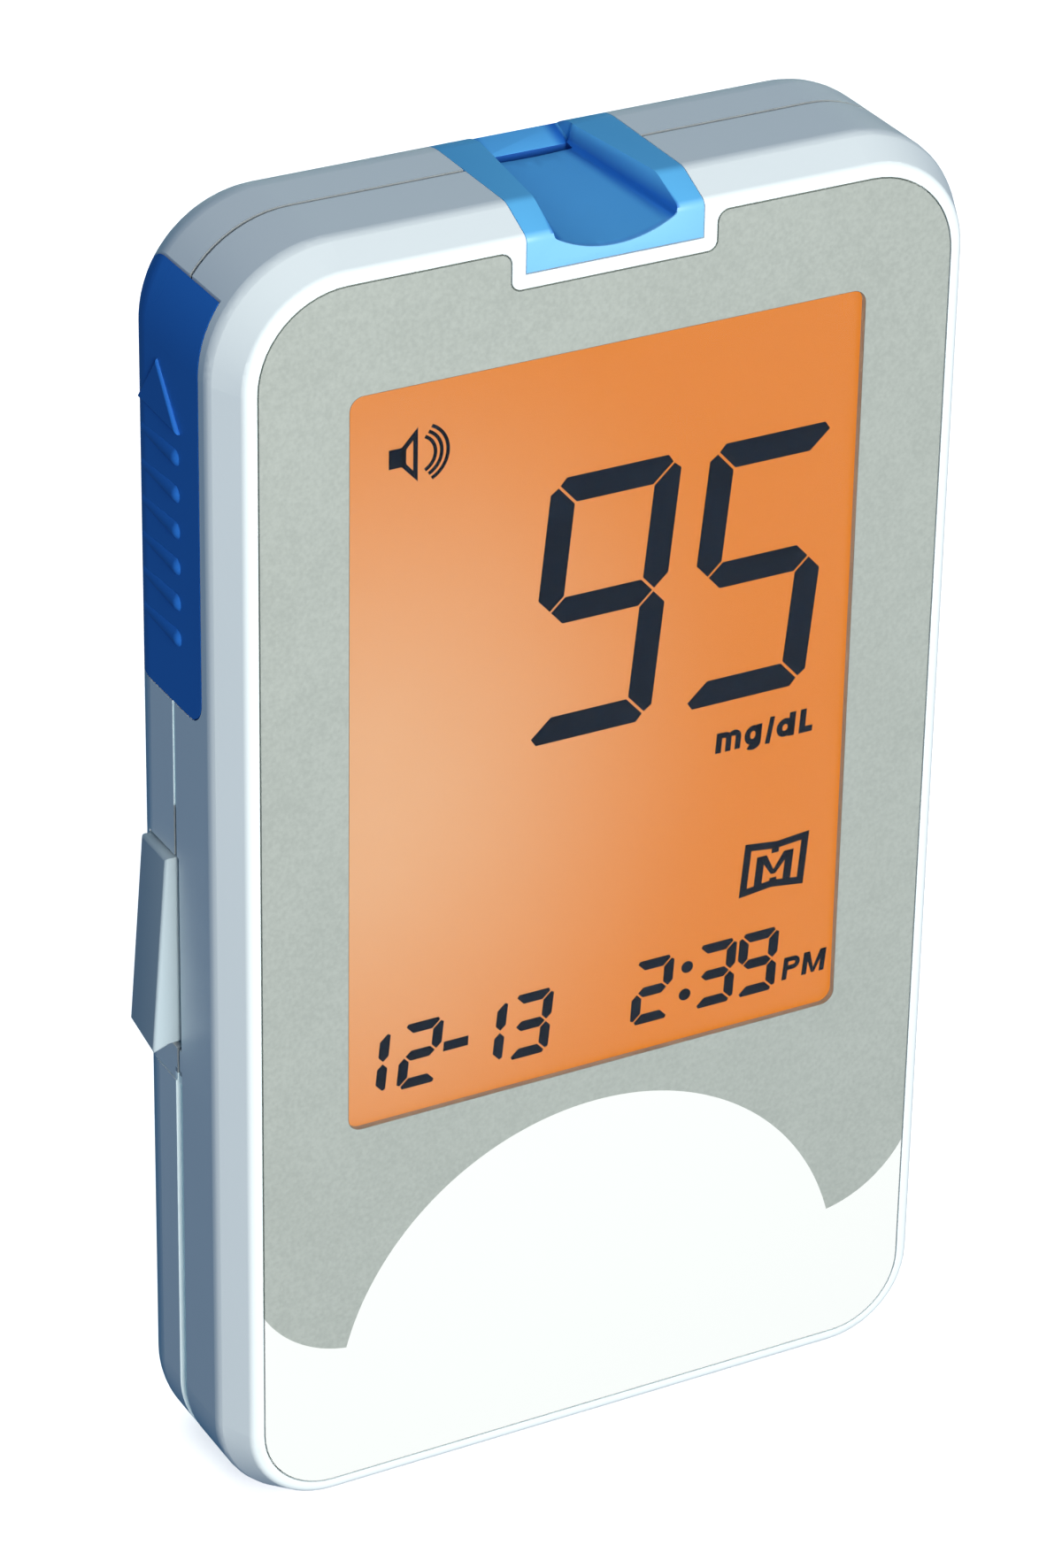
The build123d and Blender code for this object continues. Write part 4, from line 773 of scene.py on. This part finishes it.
def lead_row_tree():
    """Node tree for the gull-wing leads on two sides of one chip, which lies flat round the origin."""
    tree = bpy.data.node_groups.new("chip_leads", "GeometryNodeTree")
    tree.interface.new_socket("Geometry", in_out="INPUT", socket_type="NodeSocketGeometry")
    for name in ("Side Length", "Half Width", "Pitch", "Reach", "Drop", "Lead Width", "Lead Thickness"):
        tree.interface.new_socket(name, in_out="INPUT", socket_type="NodeSocketFloat")
    tree.interface.new_socket("Finish", in_out="INPUT", socket_type="NodeSocketMaterial")
    tree.interface.new_socket("Geometry", in_out="OUTPUT", socket_type="NodeSocketGeometry")
    size = add(tree, "NodeGroupInput").outputs

    spans = add(tree, "ShaderNodeMath", {0: size["Side Length"], 1: size["Pitch"]}, operation="DIVIDE")
    count = add(tree, "ShaderNodeMath", {0: spans}, operation="FLOOR")
    gaps = add(tree, "ShaderNodeMath", {0: count, 1: 1.0}, operation="SUBTRACT")
    run = add(tree, "ShaderNodeMath", {0: gaps, 1: size["Pitch"]}, operation="MULTIPLY")
    start = add(tree, "ShaderNodeMath", {0: run, 1: -0.5}, operation="MULTIPLY")
    first = add(tree, "ShaderNodeCombineXYZ", {"X": size["Half Width"], "Y": start})
    step = add(tree, "ShaderNodeCombineXYZ", {"Y": size["Pitch"]})
    feet = add(tree, "GeometryNodeMeshLine", {"Count": count, "Start Location": first, "Offset": step},
               mode="OFFSET")

    knee = add(tree, "ShaderNodeMath", {0: size["Reach"], 1: 0.5}, operation="MULTIPLY")
    below = add(tree, "ShaderNodeMath", {0: size["Drop"], 1: -1.0}, operation="MULTIPLY")
    shoulder = add(tree, "ShaderNodeCombineXYZ", {"X": knee})
    ankle = add(tree, "ShaderNodeCombineXYZ", {"X": knee, "Z": below})
    toe = add(tree, "ShaderNodeCombineXYZ", {"X": size["Reach"], "Z": below})
    line = add(tree, "GeometryNodeCurvePrimitiveBezierSegment",
               {"Resolution": 6, "Start": (0, 0, 0), "Start Handle": shoulder, "End Handle": ankle,
                "End": toe})
    section = add(tree, "GeometryNodeCurvePrimitiveQuadrilateral",
                  {"Width": size["Lead Width"], "Height": size["Lead Thickness"]})
    lead = add(tree, "GeometryNodeCurveToMesh",
               {"Curve": line, "Profile Curve": section, "Fill Caps": True})
    row = add(tree, "GeometryNodeInstanceOnPoints", {"Points": feet, "Instance": lead})
    other = add(tree, "GeometryNodeTransform", {"Geometry": row, "Rotation": (0, 0, math.pi)})
    both = add(tree, "GeometryNodeJoinGeometry", {"Geometry": row})
    tree.links.new(other.outputs["Geometry"], both.inputs["Geometry"])
    real = add(tree, "GeometryNodeRealizeInstances", {"Geometry": both})
    coated = add(tree, "GeometryNodeSetMaterial", {"Geometry": real, "Material": size["Finish"]})
    add(tree, "NodeGroupOutput", {"Geometry": coated})
    return tree


def loose_boxes(mesh):
    """Lowest and highest corner of each separate solid in a mesh."""
    build = bmesh.new()
    build.from_mesh(mesh)
    bmesh.ops.remove_doubles(build, verts=build.verts, dist=weld_gap)
    waiting = set(build.verts)
    boxes = []
    while waiting:
        edge_of_search = [waiting.pop()]
        found = []
        while edge_of_search:
            corner = edge_of_search.pop()
            found.append(corner.co.copy())
            for edge in corner.link_edges:
                next_corner = edge.other_vert(corner)
                if next_corner in waiting:
                    waiting.remove(next_corner)
                    edge_of_search.append(next_corner)
        boxes.append((Vector(min(axis) for axis in zip(*found)), Vector(max(axis) for axis in zip(*found))))
    build.free()
    return sorted(boxes, key=lambda box: tuple(box[0]))


def chip_leads(finish):
    """Gull-wing leads of the board's chips, a row along each longer side of a chip."""
    pitch = 0.65
    lead_width = 0.28
    lead_thickness = 0.15
    reach = 0.85
    board_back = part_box("main_board")[1].y
    turn_upright = Matrix(((1, 0, 0), (0, 0, 1), (0, -1, 0)))
    turn_across = Matrix(((0, 1, 0), (0, 0, 1), (1, 0, 0)))
    tree = lead_row_tree()
    sockets = {item.name: item.identifier for item in tree.interface.items_tree if item.in_out == "INPUT"}
    joined = bmesh.new()
    for low, high in loose_boxes(nodes["board_chips"].data):
        size = high - low
        upright = size.z >= size.x
        height = size.y / 2
        values = {"Side Length": max(size.x, size.z) - pitch * MM,
                  "Half Width": min(size.x, size.z) / 2,
                  "Pitch": pitch * MM,
                  "Reach": reach * MM,
                  "Drop": height - lead_thickness * MM / 2,
                  "Lead Width": lead_width * MM,
                  "Lead Thickness": lead_thickness * MM,
                  "Finish": finish}
        source = bpy.data.objects.new("chip_leads_source", bpy.data.meshes.new("chip_leads_source"))
        bpy.context.scene.collection.objects.link(source)
        rows = source.modifiers.new("chip_leads", "NODES")
        rows.node_group = tree
        for name, value in values.items():
            rows[sockets[name]] = value
        made = bpy.data.meshes.new_from_object(source.evaluated_get(bpy.context.evaluated_depsgraph_get()))
        bpy.data.objects.remove(source)
        middle = Vector(((low.x + high.x) / 2, board_back + height, (low.z + high.z) / 2))
        turn = turn_upright if upright else turn_across
        made.transform(Matrix.Translation(middle) @ turn.to_4x4())
        joined.from_mesh(made)
    bmesh.ops.recalc_face_normals(joined, faces=joined.faces)
    mesh = bpy.data.meshes.new("chip_leads")
    joined.to_mesh(mesh)
    joined.free()
    place_piece("chip_leads", mesh, finish, "case")


# ------------------------------------------------------------------ studio
def opal_acrylic():
    """Opal acrylic sheet lit from below: an even pale glow under a matte surface, with a faint cloudiness."""
    cloud_mm = 300.0
    material, tree, surface, place = start_finish(
        "opal_acrylic_lit_from_below", {"Roughness": 0.7, "IOR": 1.49, "Emission Strength": 0.6})
    cloud = add(tree, "ShaderNodeTexNoise", {"Vector": place, "Scale": grains(cloud_mm), "Detail": 2.0})
    tone = add(tree, "ShaderNodeMix", {"Factor": cloud, "A": linear("F8F8F8"),
                                       "B": linear("F3F4F5")}, data_type="RGBA")
    connect(surface, {"Base Color": tone, "Emission Color": tone})
    return material


def studio_floor():
    """Round shooting table, flat under the meter and curving up far from it on every side."""
    flat_radius = 2.0
    rim_radius = 1.0
    rim_height = 3.0
    segments = 96
    profile = [(0.5, 0.0), (flat_radius, 0.0)]
    profile += arc(flat_radius, rim_radius, rim_radius, rim_radius, -80, 0, 8)
    profile += [(flat_radius + rim_radius, rim_height)]
    build = bmesh.new()
    middle = build.verts.new((0, 0, 0))
    inner = None
    for radius, height in profile:
        ring = [build.verts.new((radius * math.cos(2 * math.pi * turn / segments),
                                 radius * math.sin(2 * math.pi * turn / segments), height))
                for turn in range(segments)]
        for turn in range(segments):
            after = (turn + 1) % segments
            if inner:
                build.faces.new((inner[turn], ring[turn], ring[after], inner[after]))
            else:
                build.faces.new((middle, ring[turn], ring[after]))
        inner = ring
    mesh = bpy.data.meshes.new("studio_floor")
    build.to_mesh(mesh)
    build.free()
    mesh.shade_smooth()
    mesh.materials.append(opal_acrylic())
    floor = bpy.data.objects.new("studio_floor", mesh)
    bpy.context.scene.collection.objects.link(floor)
    floor.visible_diffuse = False
    floor.visible_glossy = False
    return floor


def studio():
    """Pale floor, soft lights and the camera."""
    world = bpy.data.worlds.new("studio_air")
    bpy.context.scene.world = world
    world.use_nodes = True
    air = world.node_tree.nodes["Background"]
    air.inputs["Color"].default_value = linear("62B6FF")
    air.inputs["Strength"].default_value = 0.17

    floor_only = bpy.data.collections.new("floor_only")
    floor_only.objects.link(studio_floor())
    middle = Vector((0, 0, 0.05))
    # Name, way towards it, distance, size, watts, colour, all that it lights (None: everything), mirrored.
    lamps = [
        ("front_softbox", Vector((-0.085, -0.93, 0.30)), 1.3, (0.8, 0.8), 26.0, "FFF8F0", None, True),
        ("back_softbox", Vector((0.4, 1.0, 0.09)), 1.6, (1.2, 0.3), 26.0, "F7FDEA", None, False),
        ("floor_wash", Vector((0.0, 0.1, 1.0)), 1.6, (1.6, 1.6), 14.0, "FFFFFF", floor_only, True),
    ]
    for name, toward, distance, size, power, colour, lit_only, mirrored in lamps:
        lamp = bpy.data.lights.new(name, "AREA")
        lamp.shape = "RECTANGLE"
        lamp.size, lamp.size_y = size
        lamp.energy = power
        lamp.color = linear(colour)[:3]
        lamp_object = bpy.data.objects.new(name, lamp)
        bpy.context.scene.collection.objects.link(lamp_object)
        lamp_object.location = middle + toward.normalized() * distance
        lamp_object.rotation_euler = (-toward).to_track_quat("-Z", "Y").to_euler()
        lamp_object.visible_glossy = mirrored
        if lit_only:
            lamp_object.light_linking.receiver_collection = lit_only

    lens = bpy.data.cameras.new("camera")
    lens.sensor_fit = "VERTICAL"
    lens.sensor_height = 36.0
    lens.lens = 136.8
    lens.clip_start = 0.01
    lens.clip_end = 20.0
    # Three-quarter view from the left and above: the camera's own axes, and where it stands.
    camera = bpy.data.objects.new("camera", lens)
    bpy.context.scene.collection.objects.link(camera)
    right = Vector((0.88034793, -0.47405328, 0.016156))
    up = Vector((0.21786245, 0.43437087, 0.87398964))
    away = -Vector((0.42133536, 0.76589518, -0.48567591))
    stand = Vector((-0.17611, -0.3174, 0.2516))
    camera.matrix_world = Matrix((
        (right.x, up.x, away.x, stand.x),
        (right.y, up.y, away.y, stand.y),
        (right.z, up.z, away.z, stand.z),
        (0, 0, 0, 1)))
    bpy.context.scene.camera = camera
    bpy.context.scene.view_settings.view_transform = "Standard"


# ------------------------------------------------------------------ dressing
grey_abs = moulded_plastic("abs_moulded_satin_blue_grey", "B4C6CD", "ADC0C8", 0.34)
sky_blue_abs = moulded_plastic("abs_moulded_satin_sky_blue", "62BDF8", "5BB5F2", 0.36)
sky_blue_port = port_plastic()
deep_blue_abs = moulded_plastic("abs_moulded_semi_gloss_deep_blue", "2F7BDA", "2B74D1", 0.26)
ivory_lcp = moulded_plastic("liquid_crystal_polymer_ivory", "D9D4C4", "CFC9B6", 0.5)
natural_pom = moulded_plastic("acetal_natural_white", "E4E6E4", "DADCDB", 0.4)
black_pbt = moulded_plastic("pbt_moulded_black", "1B1C1E", "232427", 0.45)
black_epoxy = moulded_plastic("epoxy_package_black", "19191B", "222225", 0.6, 0.2, 0.01)
white_pc = moulded_plastic("polycarbonate_reflector_white", "F2F2EE", "EAEAE4", 0.5)
opal_sheet = moulded_plastic("polycarbonate_sheet_opal", "F0D2B6", "EBC8A6", 0.55)
amber_lens = moulded_plastic("epoxy_lens_amber", "F2B14A", "EBA23C", 0.25)
tape_film = moulded_plastic("acrylic_adhesive_film", "D8D8D2", "CDCDC6", 0.7, 0.4, 0.01)
polyester_film = moulded_plastic("polyester_film_formed", "C9C7BB", "BDBBAE", 0.25)
nickel_sheet = drawn_metal("nickel_plated_steel_rolled", "C8C6C0", "B9B7B0", 0.3, stretch=(1, 1, 0.15))
gold_sheet = drawn_metal("gold_plated_bronze_rolled", "E3B65A", "D2A347", 0.28, stretch=(1, 1, 0.15))
spring_wire = drawn_metal("spring_steel_drawn_bright", "BFBFBF", "A9A9AA", 0.28, stretch=(1, 1, 0.3))
zinc_steel = drawn_metal("steel_zinc_plated_turned", "BDBFC2", "A7AAAE", 0.35)
tinned_lead = drawn_metal("copper_alloy_tin_plated_stamped", "C9CBCE", "B4B6BA", 0.35, stretch=(1, 0.3, 1))
label_film = moulded_plastic("polyester_label_film_matte", "F3F4F1", "ECEDEA", 0.62, grain_mm=0.3)
edge_ink = moulded_plastic("screen_ink_warm_grey", "B8A48E", "AE9A84", 0.6, grain_mm=0.2)
window_acrylic = clear_acrylic()
basket_steel = drawn_metal("steel_pressed_tinned", "A9AAAC", "98999B", 0.4)

dress(shell_plastic(), "front_casing", "back_casing", "battery_cover")
dress(printed_plate_film(), "faceplate")
dress(window_acrylic, "display_window")
dress(backlit_display_glass(), "lcd_glass")
dress(sky_blue_abs, "set_button")
dress(sky_blue_port, "strip_port_guide")
dress(deep_blue_abs, "ejector_slider")
dress(grey_abs, "side_key")
dress(tape_film, "plate_tape")
dress(white_pc, "lcd_holder")
dress(opal_sheet, "backlight_diffuser")
dress(amber_lens, "backlight_leds")
dress(striped_elastomer(), "lcd_connector")
dress(board_laminate(), "main_board")
dress(black_epoxy, "board_chips")
dress(ivory_lcp, "strip_connector", "key_plunger")
dress(gold_sheet, "strip_contacts", "speaker_contacts")
dress(natural_pom, "ejector_carriage")
dress(spring_wire, "ejector_spring")
dress(black_pbt, "key_switch", "set_switch")
dress(basket_steel, "speaker")
dress(polyester_film, "speaker_cone")
dress(open_cell_foam(), "speaker_gasket")
dress(cell_sleeve(), "battery_cells")
dress(nickel_sheet, "battery_bridge", "battery_positive", "battery_negative", "battery_springs")
dress(zinc_steel, "case_screws", "board_screws")

softened("strip_port_guide", sky_blue_port, "case", 0.25, (0.06, 0))
softened("side_key", grey_abs, "key", 0.45, (0, 0.42))
display_marks(display_ink())
inked_window(window_acrylic, edge_ink)
live_ejector_spring(spring_wire)
blank_label(label_film)
chip_leads(tinned_lead)
studio()
